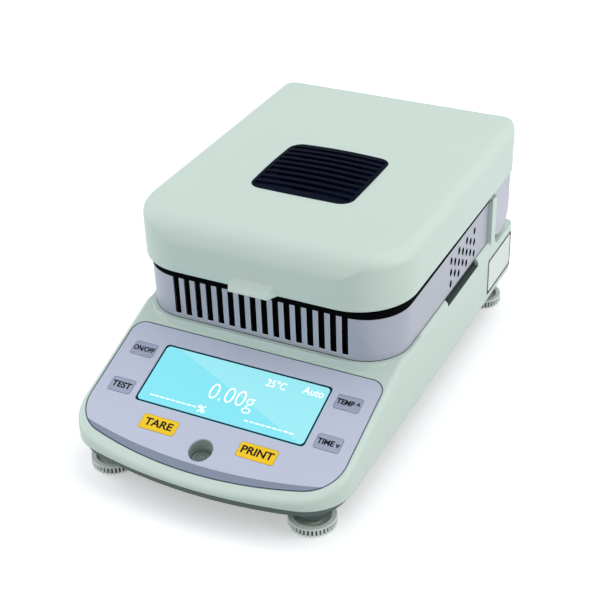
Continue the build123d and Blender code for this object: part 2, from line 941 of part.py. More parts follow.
with BuildPart() as load_cell_bracket:
    with BuildSketch(Plane.XY.offset(pan_floor)):
        with Locations((0, cell_front + cell_length - cell_seat / 2)):
            Rectangle(2 * cell_width, cell_seat)
    extrude(amount=bracket_foot)
    with BuildSketch(Plane.XY.offset(pan_floor)):
        with Locations((0, cell_front + cell_length - cell_seat / 2)):
            Rectangle(cell_width, cell_seat)
    extrude(amount=cell_bottom - pan_floor)
save(load_cell_bracket, "load_cell_bracket")


# Lid cover with its front lip, the grille window and the screw bosses
with BuildPart() as lid_lip:
    with BuildSketch(Plane.YZ):
        with BuildLine():
            Polyline(
                (lid_front + lid_wall / 2, lid_bottom),
                (lid_front - tab_reach, lid_bottom),
                (lid_front - tab_reach, lid_bottom + tab_lip),
                (lid_front - tab_reach / 3, lid_bottom + tab_height / 2),
                (lid_front + lid_wall / 2, lid_bottom + tab_height),
                close=True,
            )
        make_face()
    extrude(amount=tab_root_width / 2, both=True)
    with BuildSketch(Plane.XY.offset(lid_bottom)):
        Polygon(
            (-tab_root_width / 2, lid_front + tab_height),
            (-tab_width / 2, lid_front - tab_reach),
            (tab_width / 2, lid_front - tab_reach),
            (tab_root_width / 2, lid_front + tab_height),
            align=None,
        )
    extrude(amount=tab_height, taper=tab_taper, mode=Mode.INTERSECT)

with BuildPart() as lid_cover:
    add(lid_form(0, lid_top))
    add(lid_form(lid_wall, lid_top - lid_wall), mode=Mode.SUBTRACT)
    add(lid_lip.part)
    with BuildSketch(Plane.XY.offset(lid_top - 2 * lid_wall)):
        with Locations((0, chamber_y)):
            RectangleRounded(grille_width, grille_length, grille_round)
    extrude(amount=3 * lid_wall, mode=Mode.SUBTRACT)
    with BuildSketch(Plane.XY.offset(lid_liner_top + screw_boss_gap)):
        with Locations(*lid_screw_places):
            Circle(lid_screw_boss_radius)
            Circle(screw_radius, mode=Mode.SUBTRACT)
    extrude(amount=lid_top - lid_wall / 2 - lid_liner_top - screw_boss_gap)
save(lid_cover, "lid_cover")


# Vent grille: a shallow dome with slots in the middle and grooves at its sides
def dome(drop):
    with BuildPart() as ball:
        with Locations((0, chamber_y, lid_top + grille_rise - grille_dome)):
            Sphere(grille_dome - drop)
    return ball.part


def grille_bars(width, gap):
    with BuildSketch() as bars:
        with Locations((0, chamber_y)):
            with GridLocations(0, grille_pitch, 1, grille_slots):
                Rectangle(width, gap)
    return bars.sketch


grille_base = lid_top - lid_wall - grille_flange_thickness - screw_boss_gap
with BuildPart() as grille_core:
    with BuildSketch(Plane.XY.offset(grille_base)):
        with Locations((0, chamber_y)):
            RectangleRounded(
                grille_width - 2 * grille_rim, grille_length - 2 * grille_rim, grille_round - grille_rim
            )
    extrude(amount=lid_top + grille_rise - grille_base)
    add(dome(grille_thickness), mode=Mode.INTERSECT)

with BuildPart() as grille_grooves:
    with BuildSketch(Plane.XY.offset(grille_base)):
        add(grille_bars(grille_width - 2 * grille_margin, grille_slot))
        with Locations((0, chamber_y)):
            Circle(grille_open_radius, mode=Mode.SUBTRACT)
    extrude(amount=lid_top + grille_rise + cut_over - grille_base)
    add(dome(grille_groove), mode=Mode.SUBTRACT)

with BuildPart() as vent_grille:
    with BuildSketch(Plane.XY.offset(grille_base)):
        with Locations((0, chamber_y)):
            RectangleRounded(
                grille_width - 2 * grille_fit, grille_length - 2 * grille_fit, grille_round - grille_fit
            )
    extrude(amount=lid_top + grille_rise + cut_over - grille_base)
    add(dome(0), mode=Mode.INTERSECT)
    with BuildSketch(Plane.XY.offset(grille_base)):
        with Locations((0, chamber_y)):
            RectangleRounded(
                grille_width + 2 * grille_flange,
                grille_length + 2 * grille_flange,
                grille_round + grille_flange,
            )
    extrude(amount=grille_flange_thickness)
    add(grille_core.part, mode=Mode.SUBTRACT)
    add(grille_grooves.part, mode=Mode.SUBTRACT)
    with BuildSketch(Plane.XY.offset(grille_base)):
        add(grille_bars(grille_width, grille_slot))
        with BuildSketch(mode=Mode.INTERSECT):
            with Locations((0, chamber_y)):
                Circle(grille_open_radius)
    extrude(amount=lid_top + grille_rise + cut_over - grille_base, mode=Mode.SUBTRACT)
save(vent_grille, "vent_grille")


# Lid liner: plate with the glass seat, and the two hinge arms behind it
bush_radius = hinge_pin_radius + hinge_running_gap + hinge_bush_wall
bush_length = arm_width - arm_wall
arm_top = lid_bottom - lid_liner_fit


def liner_outline():
    liner_edge = lid_wall + lid_liner_fit
    return round_front_outline(
        lid_width - 2 * liner_edge,
        lid_front + liner_edge,
        lid_rear - liner_edge,
        lid_front_round - liner_edge,
        lid_rear_round - liner_edge,
    )


with BuildPart() as lid_liner:
    with BuildSketch(Plane.XY.offset(lid_liner_bottom)):
        add(liner_outline())
        with Locations((0, chamber_y)):
            Circle(glass_radius - glass_lip, mode=Mode.SUBTRACT)
        with Locations(*lid_screw_places):
            Circle(screw_radius + screw_hole_gap, mode=Mode.SUBTRACT)
        with Locations((0, chamber_y + probe_offset)):
            Circle(probe_radius + probe_gap, mode=Mode.SUBTRACT)
    extrude(amount=lid_liner_thickness)
    with BuildSketch(Plane.XY.offset(glass_bottom)):
        with Locations((0, chamber_y)):
            Circle(glass_radius + glass_fit)
    extrude(amount=lid_liner_thickness, mode=Mode.SUBTRACT)
    for arm_x in (-lobe_outer_x, lobe_inner_x):
        with BuildSketch(Plane.YZ.offset(arm_x)):
            with Locations((pivot_y, pivot_z)):
                Circle(lobe_radius)
            with Locations((pivot_y, (pivot_z + arm_top) / 2)):
                Rectangle(2 * lobe_radius, arm_top - pivot_z)
        extrude(amount=arm_width)
        # Neck of the arm, inside the rim of the cover
        with BuildSketch(Plane.XY.offset(arm_top)):
            add(liner_outline())
            with Locations((arm_x + arm_width / 2, pivot_y)):
                Rectangle(arm_width, 2 * lobe_radius, mode=Mode.INTERSECT)
        extrude(amount=lid_liner_bottom - arm_top)
    # Blind holes for the bushes, closed on the outer side of the arms
    for bush_x in (arm_wall - lobe_outer_x, lobe_inner_x):
        with BuildSketch(Plane.YZ.offset(bush_x)):
            with Locations((pivot_y, pivot_z)):
                Circle(bush_radius)
        extrude(amount=bush_length, mode=Mode.SUBTRACT)
save(lid_liner, "lid_liner")

with BuildPart() as protective_glass:
    with BuildSketch(Plane.XY.offset(glass_bottom)):
        with Locations((0, chamber_y)):
            Circle(glass_radius)
    extrude(amount=glass_thickness)
save(protective_glass, "protective_glass")

glass_top = glass_bottom + glass_thickness
ring_top = glass_top + ring_thickness
ring_outer = glass_radius + glass_fit + ring_width
chamber_axis = Axis((0, chamber_y, 0), (0, 0, 1))
with BuildPart() as glass_ring:
    with BuildSketch(Plane.XZ.offset(-chamber_y)):
        with BuildLine():
            Polyline(
                (glass_radius - glass_lip, glass_top),
                (glass_radius + 2 * glass_fit, glass_top),
                (glass_radius + 2 * glass_fit, lid_liner_top),
                (ring_outer, lid_liner_top),
                (ring_outer, ring_top),
                (glass_radius - glass_lip, ring_top),
                close=True,
            )
        make_face()
    revolve(axis=chamber_axis)
save(glass_ring, "glass_ring")

reflector_top = ring_top + reflector_height
lamp_z = ring_top + lamp_rise
lamp_legs = [
    (
        lamp_ring_radius * cos(radians(90 + turn)),
        chamber_y + lamp_ring_radius * sin(radians(90 + turn)),
    )
    for turn in (-lamp_leg_angle, lamp_leg_angle)
]
with BuildPart() as reflector:
    with BuildSketch(Plane.XZ.offset(-chamber_y)):
        with BuildLine():
            Polyline(
                (ring_outer, ring_top),
                (ring_outer, ring_top + reflector_wall),
                (glass_radius + reflector_wall, ring_top + reflector_wall),
                (reflector_top_radius + reflector_wall, reflector_top),
                (reflector_opening, reflector_top),
                (reflector_opening, reflector_top - reflector_wall),
                (reflector_top_radius, reflector_top - reflector_wall),
                (glass_radius, ring_top),
                close=True,
            )
        make_face()
    revolve(axis=chamber_axis)
    with BuildSketch(Plane.XY.offset(reflector_top - 2 * reflector_wall)):
        with Locations(*lamp_legs):
            Circle(lamp_leg_radius + lamp_fit)
    extrude(amount=3 * reflector_wall, mode=Mode.SUBTRACT)
save(reflector, "reflector")

with BuildPart() as halogen_lamp:
    with Locations((0, chamber_y, lamp_z)):
        Torus(lamp_ring_radius, lamp_tube_radius)
    with BuildSketch(Plane.XY.offset(lamp_z)):
        with Locations(*lamp_legs):
            Circle(lamp_leg_radius)
    extrude(amount=lamp_leg_length)
save(halogen_lamp, "halogen_lamp")

with BuildPart() as lamp_holder:
    with BuildSketch(Plane.XY.offset(reflector_top)):
        with Locations((0, lamp_legs[0][1])):
            Rectangle(holder_size[0], holder_size[1])
        with Locations(*lamp_legs):
            Circle(lamp_leg_radius + lamp_fit, mode=Mode.SUBTRACT)
    extrude(amount=holder_size[2])
    fillet(lamp_holder.edges().filter_by(Axis.Z).filter_by(GeomType.LINE), holder_round)
save(lamp_holder, "lamp_holder")

with BuildPart() as temperature_probe:
    with BuildSketch(Plane.XY.offset(lid_liner_bottom - probe_drop)):
        with Locations((0, chamber_y + probe_offset)):
            Circle(probe_radius)
    extrude(amount=probe_drop + lid_liner_thickness)
    with BuildSketch(Plane.XY.offset(lid_liner_bottom - probe_collar_height)):
        with Locations((0, chamber_y + probe_offset)):
            Circle(probe_collar_radius)
    extrude(amount=probe_collar_height)
save(temperature_probe, "temperature_probe")

with BuildPart() as lid_screws:
    with BuildSketch(Plane.XY.offset(lid_liner_bottom - screw_head_height)):
        with Locations(*lid_screw_places):
            Circle(screw_head_radius)
    extrude(amount=screw_head_height)
    with BuildSketch(Plane.XY.offset(lid_liner_bottom)):
        with Locations(*lid_screw_places):
            Circle(screw_radius)
    extrude(amount=screw_length)
save(lid_screws, "lid_screws")


# Hinge: bushes in the arms, pins in the hinge housing on the rear deck
with BuildPart() as hinge_bushes:
    for bush_x in (arm_wall - lobe_outer_x, lobe_inner_x):
        with BuildSketch(Plane.YZ.offset(bush_x)):
            with Locations((pivot_y, pivot_z)):
                Circle(bush_radius)
                Circle(hinge_pin_radius + hinge_running_gap, mode=Mode.SUBTRACT)
        extrude(amount=bush_length)
save(hinge_bushes, "hinge_bushes")

hinge_half = lobe_inner_x - hinge_side_gap
with BuildPart() as hinge_housing:
    with BuildSketch(Plane.YZ):
        with Locations((pivot_y, pivot_z)):
            Circle(lobe_radius)
        with Locations((pivot_y, (pivot_z + rear_deck_height) / 2)):
            Rectangle(2 * lobe_radius, pivot_z - rear_deck_height)
    extrude(amount=hinge_half, both=True)
    with BuildSketch(Plane.YZ):
        with Locations((pivot_y, pivot_z)):
            Circle(lobe_radius - hinge_cavity_wall)
        with Locations((pivot_y, (pivot_z + rear_deck_height) / 2)):
            Rectangle(2 * (lobe_radius - hinge_cavity_wall), pivot_z - rear_deck_height)
    extrude(amount=hinge_half - hinge_pin_hold - hinge_cavity_wall, both=True, mode=Mode.SUBTRACT)
    for pin_x in (-hinge_half, hinge_half - hinge_pin_hold):
        with BuildSketch(Plane.YZ.offset(pin_x)):
            with Locations((pivot_y, pivot_z)):
                Circle(hinge_pin_radius)
        extrude(amount=hinge_pin_hold, mode=Mode.SUBTRACT)
save(hinge_housing, "hinge_housing")

pin_reach = hinge_side_gap + bush_length - pin_end_gap
pin_length = hinge_pin_hold + pin_reach
with BuildPart() as hinge_pins:
    for pin_x in (-hinge_half - pin_reach, hinge_half - hinge_pin_hold):
        with BuildSketch(Plane.YZ.offset(pin_x)):
            with Locations((pivot_y, pivot_z)):
                Circle(hinge_pin_radius)
        extrude(amount=pin_length)
save(hinge_pins, "hinge_pins")

with BuildPart() as lid_buffers:
    with BuildSketch(Plane.XY.offset(liner_top)):
        for side in (-1, 1):
            with Locations((side * buffer_place[0], buffer_place[1])):
                Circle(buffer_radius)
    extrude(amount=lid_liner_bottom - buffer_gap - liner_top)
save(lid_buffers, "lid_buffers")


# Bottom pan: plate, lip inside the cover, conical bosses over the feet
insert_radius = stud_radius + stud_gap + insert_wall
insert_bottom = wheel_bottom + wheel_floor + foot_stop_gap
board_corners = [
    (
        main_board_x + end_x * (main_board_size[0] / 2 - screw_boss_radius),
        main_board_y + end_y * (main_board_size[1] / 2 - screw_boss_radius),
    )
    for end_x in (-1, 1)
    for end_y in (-1, 1)
]
with BuildPart() as base_pan:
    with BuildSketch(Plane.XY.offset(pan_plate_bottom)):
        add(base_outline(pan_inset))
    extrude(amount=pan_plate_thickness)
    with BuildSketch(Plane.XY.offset(pan_floor)):
        add(base_outline(pan_inset))
        add(base_outline(pan_inset + pan_lip_wall), mode=Mode.SUBTRACT)
    extrude(amount=pan_lip_height)
    for place in foot_places.values():
        with BuildSketch(Plane.XY.offset(boss_bottom)):
            with Locations(place):
                Circle(boss_tip_radius)
        with BuildSketch(Plane.XY.offset(pan_plate_bottom)):
            with Locations(place):
                Circle(boss_top_radius)
        loft()
    with BuildSketch(Plane.XY.offset(boss_bottom)):
        with Locations(*foot_places.values()):
            Circle(stud_radius + stud_hole_gap)
    extrude(amount=pan_floor - boss_bottom, mode=Mode.SUBTRACT)
    with BuildSketch(Plane.XY.offset(boss_bottom)):
        with Locations(*foot_places.values()):
            Circle(insert_radius)
    extrude(amount=insert_length, mode=Mode.SUBTRACT)
    with BuildSketch(Plane.XY.offset(pan_plate_bottom)):
        with Locations(*cover_screw_places):
            Circle(screw_radius + screw_hole_gap)
    extrude(amount=pan_plate_thickness, mode=Mode.SUBTRACT)
    with BuildSketch(Plane.XY.offset(pan_floor)):
        with Locations(*board_corners):
            Circle(screw_boss_radius)
    extrude(amount=standoff_height)
save(base_pan, "base_pan")

with BuildPart() as foot_inserts:
    with BuildSketch(Plane.XY.offset(insert_bottom)):
        with Locations(*foot_places.values()):
            Circle(insert_radius)
            Circle(stud_radius + stud_gap, mode=Mode.SUBTRACT)
    extrude(amount=boss_bottom + insert_length - insert_bottom)
save(foot_inserts, "foot_inserts")

with BuildPart() as pan_screws:
    with BuildSketch(Plane.XY.offset(pan_plate_bottom - screw_head_height)):
        with Locations(*cover_screw_places):
            Circle(screw_head_radius)
    extrude(amount=screw_head_height)
    with BuildSketch(Plane.XY.offset(pan_plate_bottom)):
        with Locations(*cover_screw_places):
            Circle(screw_radius)
    extrude(amount=screw_length)
save(pan_screws, "pan_screws")


# Feet: knurled wheel, its stud and the rubber pad it turns on
wheel_top = wheel_bottom + wheel_height
wheel_floor_top = wheel_bottom + wheel_floor
recess_top = wheel_bottom + pad_recess
with BuildPart() as foot_wheel:
    with BuildSketch(Plane.XY.offset(wheel_bottom)):
        Circle(wheel_radius - tooth_depth)
        with PolarLocations(wheel_radius - tooth_depth, wheel_teeth):
            Rectangle(2 * tooth_depth, tooth_width)
    extrude(amount=wheel_height - tooth_rim)
    with BuildSketch(Plane.XY.offset(wheel_top - tooth_rim)):
        Circle(wheel_radius)
    extrude(amount=tooth_rim)
    with BuildSketch(Plane.XY.offset(wheel_floor_top)):
        Circle(wheel_radius - wheel_rim)
    extrude(amount=wheel_height, mode=Mode.SUBTRACT)
    with BuildSketch(Plane.XY.offset(wheel_bottom)):
        Circle(pad_radius + pad_gap)
    extrude(amount=pad_recess, mode=Mode.SUBTRACT)
    with BuildSketch(Plane.XY.offset(recess_top)):
        Circle(pad_pivot_radius + pad_pivot_gap)
    extrude(amount=pad_pivot_height + pad_seat_gap, mode=Mode.SUBTRACT)

with BuildPart() as foot_stud:
    with BuildSketch(Plane.XY.offset(wheel_floor_top)):
        Circle(stud_radius)
    extrude(amount=stud_top - wheel_floor_top)

with BuildPart() as foot_pad:
    with BuildSketch():
        Circle(pad_radius)
    extrude(amount=recess_top - pad_seat_gap)
    with BuildSketch(Plane.XY.offset(recess_top - pad_seat_gap)):
        Circle(pad_pivot_radius)
    extrude(amount=pad_pivot_height)

for corner, place in foot_places.items():
    save_at(foot_wheel, "foot_wheel_" + corner, place)
    save_at(foot_stud, "foot_stud_" + corner, place)
    save_at(foot_pad, "foot_pad_" + corner, place)


# Electronics in the base
board_bottom = pan_floor + standoff_height
with BuildPart() as main_board:
    with BuildSketch(Plane.XY.offset(board_bottom)):
        with Locations((main_board_x, main_board_y)):
            Rectangle(*main_board_size)
    extrude(amount=main_board_thickness)
    with BuildSketch(Plane.XY.offset(board_bottom + main_board_thickness)):
        with Locations((main_board_x, main_board_y)):
            with GridLocations(*board_part_pitch, 2, 3):
                Rectangle(*board_part_size)
    extrude(amount=board_part_height)
save(main_board, "main_board")

with BuildPart() as power_supply:
    with BuildSketch(Plane.XY.offset(pan_floor)):
        with Locations((supply_x, supply_y)):
            Rectangle(supply_size[0], supply_size[1])
    extrude(amount=supply_size[2])
    chamfer(power_supply.edges().filter_by(Axis.Z), supply_chamfer)
save(power_supply, "power_supply")


# Rear panel with the mains inlet and the serial socket
panel_back = base_rear - cover_wall
with BuildPart() as rear_panel:
    with BuildSketch(Plane.XZ.offset(-panel_back)):
        with Locations((0, rear_opening_z)):
            Rectangle(
                rear_opening_width + 2 * rear_panel_margin, rear_opening_height + 2 * rear_panel_margin
            )
        with Locations((inlet_x, rear_opening_z)):
            Rectangle(
                inlet_body[0] + 2 * panel_cut_gap, inlet_body[1] + 2 * panel_cut_gap, mode=Mode.SUBTRACT
            )
        with Locations((serial_x, rear_opening_z)):
            Rectangle(
                serial_body[0] + 2 * panel_cut_gap, serial_body[1] + 2 * panel_cut_gap, mode=Mode.SUBTRACT
            )
            with GridLocations(serial_screw_pitch, 0, 2, 1):
                Circle(serial_nut_radius + panel_cut_gap, mode=Mode.SUBTRACT)
    extrude(amount=rear_panel_thickness)
save(rear_panel, "rear_panel")

inlet_face = panel_back + inlet_flange_thickness
with BuildPart() as power_inlet:
    with BuildSketch(Plane.XZ.offset(-inlet_face)):
        with Locations((inlet_x, rear_opening_z)):
            RectangleRounded(*inlet_flange, inlet_round)
    extrude(amount=inlet_flange_thickness)
    with BuildSketch(Plane.XZ.offset(-panel_back)):
        with Locations((inlet_x, rear_opening_z)):
            Rectangle(*inlet_body)
    extrude(amount=inlet_depth)
    with BuildSketch(Plane.XZ.offset(-inlet_face)):
        with Locations((inlet_x, rear_opening_z)):
            RectangleRounded(*inlet_socket, inlet_round)
    extrude(amount=inlet_socket_depth, mode=Mode.SUBTRACT)
    with BuildSketch(Plane.XZ.offset(-(inlet_face - inlet_socket_depth + inlet_pin_length))):
        with Locations((inlet_x, rear_opening_z)):
            with Locations(
                (-inlet_pin_pitch, -inlet_pin_rise / 2),
                (inlet_pin_pitch, -inlet_pin_rise / 2),
                (0, inlet_pin_rise / 2),
            ):
                Rectangle(*inlet_pin)
    extrude(amount=inlet_pin_length)
save(power_inlet, "power_inlet")

serial_face = panel_back + serial_flange_thickness
nut_face = serial_face + serial_shell_height
with BuildPart() as serial_socket:
    with BuildSketch(Plane.XZ.offset(-serial_face)):
        with Locations((serial_x, rear_opening_z)):
            RectangleRounded(*serial_flange, serial_round)
    extrude(amount=serial_flange_thickness)
    with BuildSketch(Plane.XZ.offset(-nut_face)):
        with Locations((serial_x, rear_opening_z)):
            Trapezoid(serial_shell[0], serial_shell[1], serial_shell_angle, rotation=180)
    extrude(amount=serial_shell_height)
    with BuildSketch(Plane.XZ.offset(-panel_back)):
        with Locations((serial_x, rear_opening_z)):
            Rectangle(*serial_body)
    extrude(amount=serial_depth)
    with BuildSketch(Plane.XZ.offset(-nut_face)):
        with Locations((serial_x, rear_opening_z)):
            with GridLocations(serial_screw_pitch, 0, 2, 1):
                Circle(serial_nut_radius)
    extrude(amount=serial_shell_height + serial_nut_depth)
    with BuildSketch(Plane.XZ.offset(-nut_face)):
        with Locations((serial_x, rear_opening_z)):
            with GridLocations(serial_screw_pitch, 0, 2, 1):
                Circle(serial_screw_radius)
    extrude(amount=serial_nut_depth, mode=Mode.SUBTRACT)
save(serial_socket, "serial_socket")


# Blank rating plate on the right side
with BuildPart() as rating_plate:
    with BuildSketch(Plane.YZ.offset(half_base)):
        with Locations((plate_y, plate_z)):
            RectangleRounded(plate_length, plate_height, plate_round)
    extrude(amount=plate_thickness)
save(rating_plate, "rating_plate")
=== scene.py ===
import math

import bmesh
import bpy
from mathutils import Matrix, Vector


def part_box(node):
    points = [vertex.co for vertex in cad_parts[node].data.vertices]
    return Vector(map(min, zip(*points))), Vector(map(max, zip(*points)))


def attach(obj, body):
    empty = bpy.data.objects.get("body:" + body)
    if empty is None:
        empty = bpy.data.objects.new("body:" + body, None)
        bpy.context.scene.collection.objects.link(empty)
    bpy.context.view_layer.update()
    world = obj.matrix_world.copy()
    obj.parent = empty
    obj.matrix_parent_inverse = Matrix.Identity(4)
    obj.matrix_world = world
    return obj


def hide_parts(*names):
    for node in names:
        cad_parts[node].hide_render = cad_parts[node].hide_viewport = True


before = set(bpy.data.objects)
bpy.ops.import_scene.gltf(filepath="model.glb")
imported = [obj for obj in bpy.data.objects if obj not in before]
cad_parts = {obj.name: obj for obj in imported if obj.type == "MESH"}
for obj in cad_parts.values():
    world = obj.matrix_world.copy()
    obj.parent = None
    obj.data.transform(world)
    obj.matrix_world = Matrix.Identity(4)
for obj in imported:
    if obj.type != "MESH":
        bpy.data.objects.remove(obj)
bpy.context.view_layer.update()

scene = bpy.context.scene


def linearColour(hexText):
    # a colour as written on screen, as the linear values that nodes take
    parts = [int(hexText[i:i + 2], 16) / 255 for i in (0, 2, 4)]
    return tuple(c / 12.92 if c <= 0.04045 else ((c + 0.055) / 1.055) ** 2.4 for c in parts) + (1.0,)


def toned(colour, factor, lift=0.0):
    # a linear colour made darker or lighter
    return tuple(min(1.0, c * factor + lift) for c in colour[:3]) + (1.0,)


def newPiece(name, mesh, body, material):
    # without a material the mesh keeps its own
    piece = bpy.data.objects.new(name, mesh)
    scene.collection.objects.link(piece)
    if material is not None:
        mesh.materials.clear()
        mesh.materials.append(material)
    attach(piece, body)
    return piece


def meshFrom(name, points, faces, smoothAngle=30):
    mesh = bpy.data.meshes.new(name)
    mesh.from_pydata([tuple(p) for p in points], [], faces)
    work = bmesh.new()
    work.from_mesh(mesh)
    bmesh.ops.remove_doubles(work, verts=work.verts, dist=1e-7)
    bmesh.ops.recalc_face_normals(work, faces=work.faces)
    work.to_mesh(mesh)
    work.free()
    mesh.shade_smooth()
    mesh.set_sharp_from_angle(angle=math.radians(smoothAngle))
    return mesh


def latheMesh(name, profile, centre, steps):
    # profile: a closed outline of (radius, height) pairs, turned about an upright axis through centre
    points, faces = [], []
    for k in range(steps):
        turn = 2 * math.pi * k / steps
        for radius, height in profile:
            points.append((centre[0] + radius * math.cos(turn), centre[1] + radius * math.sin(turn), height))
    count = len(profile)
    for k in range(steps):
        after = (k + 1) % steps
        for i in range(count):
            n = (i + 1) % count
            faces.append((k * count + i, k * count + n, after * count + n, after * count + i))
    return meshFrom(name, points, faces)


def arc(middle, radius, start, end, steps):
    # points of an arc between two angles in degrees
    points = []
    for k in range(steps + 1):
        turn = math.radians(start + (end - start) * k / steps)
        points.append((middle[0] + radius * math.cos(turn), middle[1] + radius * math.sin(turn)))
    return points


arcSteps = {"small": 8, "overlay": 12, "bow": 24, "housing": 16}


def roundedOutline(width, height, radius):
    points = []
    for cx, cy, start in ((1, 1, 0), (-1, 1, 90), (-1, -1, 180), (1, -1, 270)):
        middle = (cx * (width / 2 - radius), cy * (height / 2 - radius))
        points += arc(middle, radius, start, start + 90, arcSteps["small"])
    return points


def overlayOutline(inset, look):
    # outline of the panel overlay: bowed front, wide front corners, tighter top corners
    steps = arcSteps["overlay"]
    right = arc((look["topX"], look["topY"]), look["topRound"] - inset, 90, 0, steps)
    right += arc((look["frontX"], look["frontY"]), look["frontRound"] - inset, 0, -look["frontTurn"], steps)
    left = [(-x, y) for x, y in right[::-1]]
    half = 90 - look["frontTurn"]
    bow = arc((0, look["bowY"]), look["bow"] - inset, half - 90, -half - 90, arcSteps["bow"])[1:-1]
    return (right + bow + left)[::-1]


def housingOutline(inset, look):
    # outline of the chamber housing: wide rounded front corners, tight rear ones
    half = look["half"] - inset
    rear, front = look["rear"] - inset, look["front"] + inset
    rearRound, frontRound = look["rearRound"], look["frontRound"] - inset
    points = []
    for side, end, inward, radius, start in ((1, rear, -1, rearRound, 0), (-1, rear, -1, rearRound, 90),
                                             (-1, front, 1, frontRound, 180), (1, front, 1, frontRound, 270)):
        middle = (side * (half - radius), end + inward * radius)
        points += arc(middle, radius, start, start + 90, arcSteps["housing"])
    return points


def bandMesh(name, outer, inner, place, thickness):
    # a thin flat ring between two outlines with the same number of points
    count = len(outer)
    points = []
    for z in (0, thickness):
        points += [place @ Vector((x, y, z)) for x, y in outer + inner]
    faces = []
    for k in range(count):
        n = (k + 1) % count
        lowOut, lowIn = (k, n), (count + k, count + n)
        topOut, topIn = (2 * count + k, 2 * count + n), (3 * count + k, 3 * count + n)
        faces.append((topOut[0], topOut[1], topIn[1], topIn[0]))
        faces.append((lowOut[1], lowOut[0], lowIn[0], lowIn[1]))
        faces.append((lowOut[0], lowOut[1], topOut[1], topOut[0]))
        faces.append((lowIn[1], lowIn[0], topIn[0], topIn[1]))
    return meshFrom(name, points, faces, 20)


def settledMesh(piece, name):
    # the evaluated result of a piece's curve or modifiers as a plain mesh
    bpy.context.view_layer.update()
    graph = bpy.context.evaluated_depsgraph_get()
    mesh = bpy.data.meshes.new_from_object(piece.evaluated_get(graph), depsgraph=graph)
    mesh.name = name
    return mesh


class Wire:
    # one output socket, so that maths on it reads as a plain expression
    def __init__(self, graph, socket):
        self.graph = graph
        self.socket = socket

    def maths(self, operation, first, second):
        return self.graph.add("ShaderNodeMath", {"operation": operation}, {0: first, 1: second})

    def __add__(self, other):
        return self.maths("ADD", self, other)

    def __radd__(self, other):
        return self.maths("ADD", other, self)

    def __sub__(self, other):
        return self.maths("SUBTRACT", self, other)

    def __rsub__(self, other):
        return self.maths("SUBTRACT", other, self)

    def __mul__(self, other):
        return self.maths("MULTIPLY", self, other)

    def __rmul__(self, other):
        return self.maths("MULTIPLY", other, self)

    def __truediv__(self, other):
        return self.maths("DIVIDE", self, other)


def findSocket(sockets, key):
    if isinstance(key, int):
        return sockets[key]
    for socket in sockets:
        if socket.identifier == key:
            return socket
    return sockets[key]


class Graph:
    def __init__(self, tree):
        self.tree = tree
        tree.nodes.clear()

    def add(self, kind, settings=None, sockets=None, output=0):
        # a new node: its settings, then the values or links of its sockets; gives one output's wire
        node = self.tree.nodes.new(kind)
        for key, value in (settings or {}).items():
            setattr(node, key, value)
        for key, value in (sockets or {}).items():
            target = findSocket(node.inputs, key)
            for part in value if isinstance(value, list) else [value]:
                if isinstance(part, Wire):
                    self.tree.links.new(part.socket, target)
                else:
                    target.default_value = part
        if not node.outputs:
            return None
        return Wire(self, findSocket(node.outputs, output))

    def mix(self, factor, first, second):
        return self.add("ShaderNodeMix", {"data_type": "RGBA"},
                        {"Factor_Float": factor, "A_Color": first, "B_Color": second}, "Result_Color")

    def noise(self, place, scale, detail=2.0, roughness=0.5):
        return self.add("ShaderNodeTexNoise", {},
                        {"Vector": place, "Scale": scale, "Detail": detail, "Roughness": roughness})

    def dot(self, first, second):
        return self.add("ShaderNodeVectorMath", {"operation": "DOT_PRODUCT"}, {0: first, 1: second}, "Value")

    def vector(self, x=0.0, y=0.0, z=0.0):
        return self.add("ShaderNodeCombineXYZ", {}, {"X": x, "Y": y, "Z": z})

    def objectPlace(self):
        return self.add("ShaderNodeTexCoord", {}, {}, "Object")

    def stretched(self, place, scale, shift=(0, 0, 0)):
        return self.add("ShaderNodeMapping", {}, {"Vector": place, "Location": shift, "Scale": scale})

    def edges(self, radius, samples=4, gain=4):
        # rounded normal near edges, and a mask that is 1 right on them
        softNormal = self.add("ShaderNodeBevel", {"samples": samples}, {"Radius": radius})
        flat = self.add("ShaderNodeNewGeometry", {}, {}, "Normal")
        return softNormal, self.add("ShaderNodeClamp", {}, {"Value": (1 - self.dot(softNormal, flat)) * gain})

    def bump(self, height, strength, distance, normal):
        return self.add("ShaderNodeBump", {},
                        {"Height": height, "Strength": strength, "Distance": distance, "Normal": normal})

    def directView(self):
        # 1 for rays from the camera, also by way of a reflection or through glass
        rays = ("Is Camera Ray", "Is Glossy Ray", "Is Transmission Ray")
        camera, glossy, through = [self.add("ShaderNodeLightPath", {}, {}, ray) for ray in rays]
        return self.add("ShaderNodeClamp", {}, {"Value": camera + glossy + through})

    def finishShader(self, sockets):
        shader = self.add("ShaderNodeBsdfPrincipled", {}, sockets)
        self.add("ShaderNodeOutputMaterial", {}, {"Surface": shader})

    def block(self, x, y, z):
        return self.add("GeometryNodeMeshCube", {}, {"Size": self.vector(x, y, z)}, "Mesh")

    def disc(self, sides, radius, depth):
        return self.add("GeometryNodeMeshCylinder", {}, {"Vertices": sides, "Radius": radius, "Depth": depth},
                        "Mesh")

    def copies(self, points, instance):
        return self.add("GeometryNodeInstanceOnPoints", {}, {"Points": points, "Instance": instance})

    def row(self, instance, count, step, start=(0, 0, 0)):
        line = self.add("GeometryNodeMeshLine", {"mode": "OFFSET"},
                        {"Count": count, "Start Location": start, "Offset": step}, "Mesh")
        return self.copies(line, instance)

    def grid(self, sizeX, sizeY, countX, countY):
        return self.add("GeometryNodeMeshGrid", {}, {
            "Size X": sizeX, "Size Y": sizeY, "Vertices X": countX, "Vertices Y": countY}, "Mesh")

    def join(self, parts):
        return self.add("GeometryNodeJoinGeometry", {}, {"Geometry": parts})


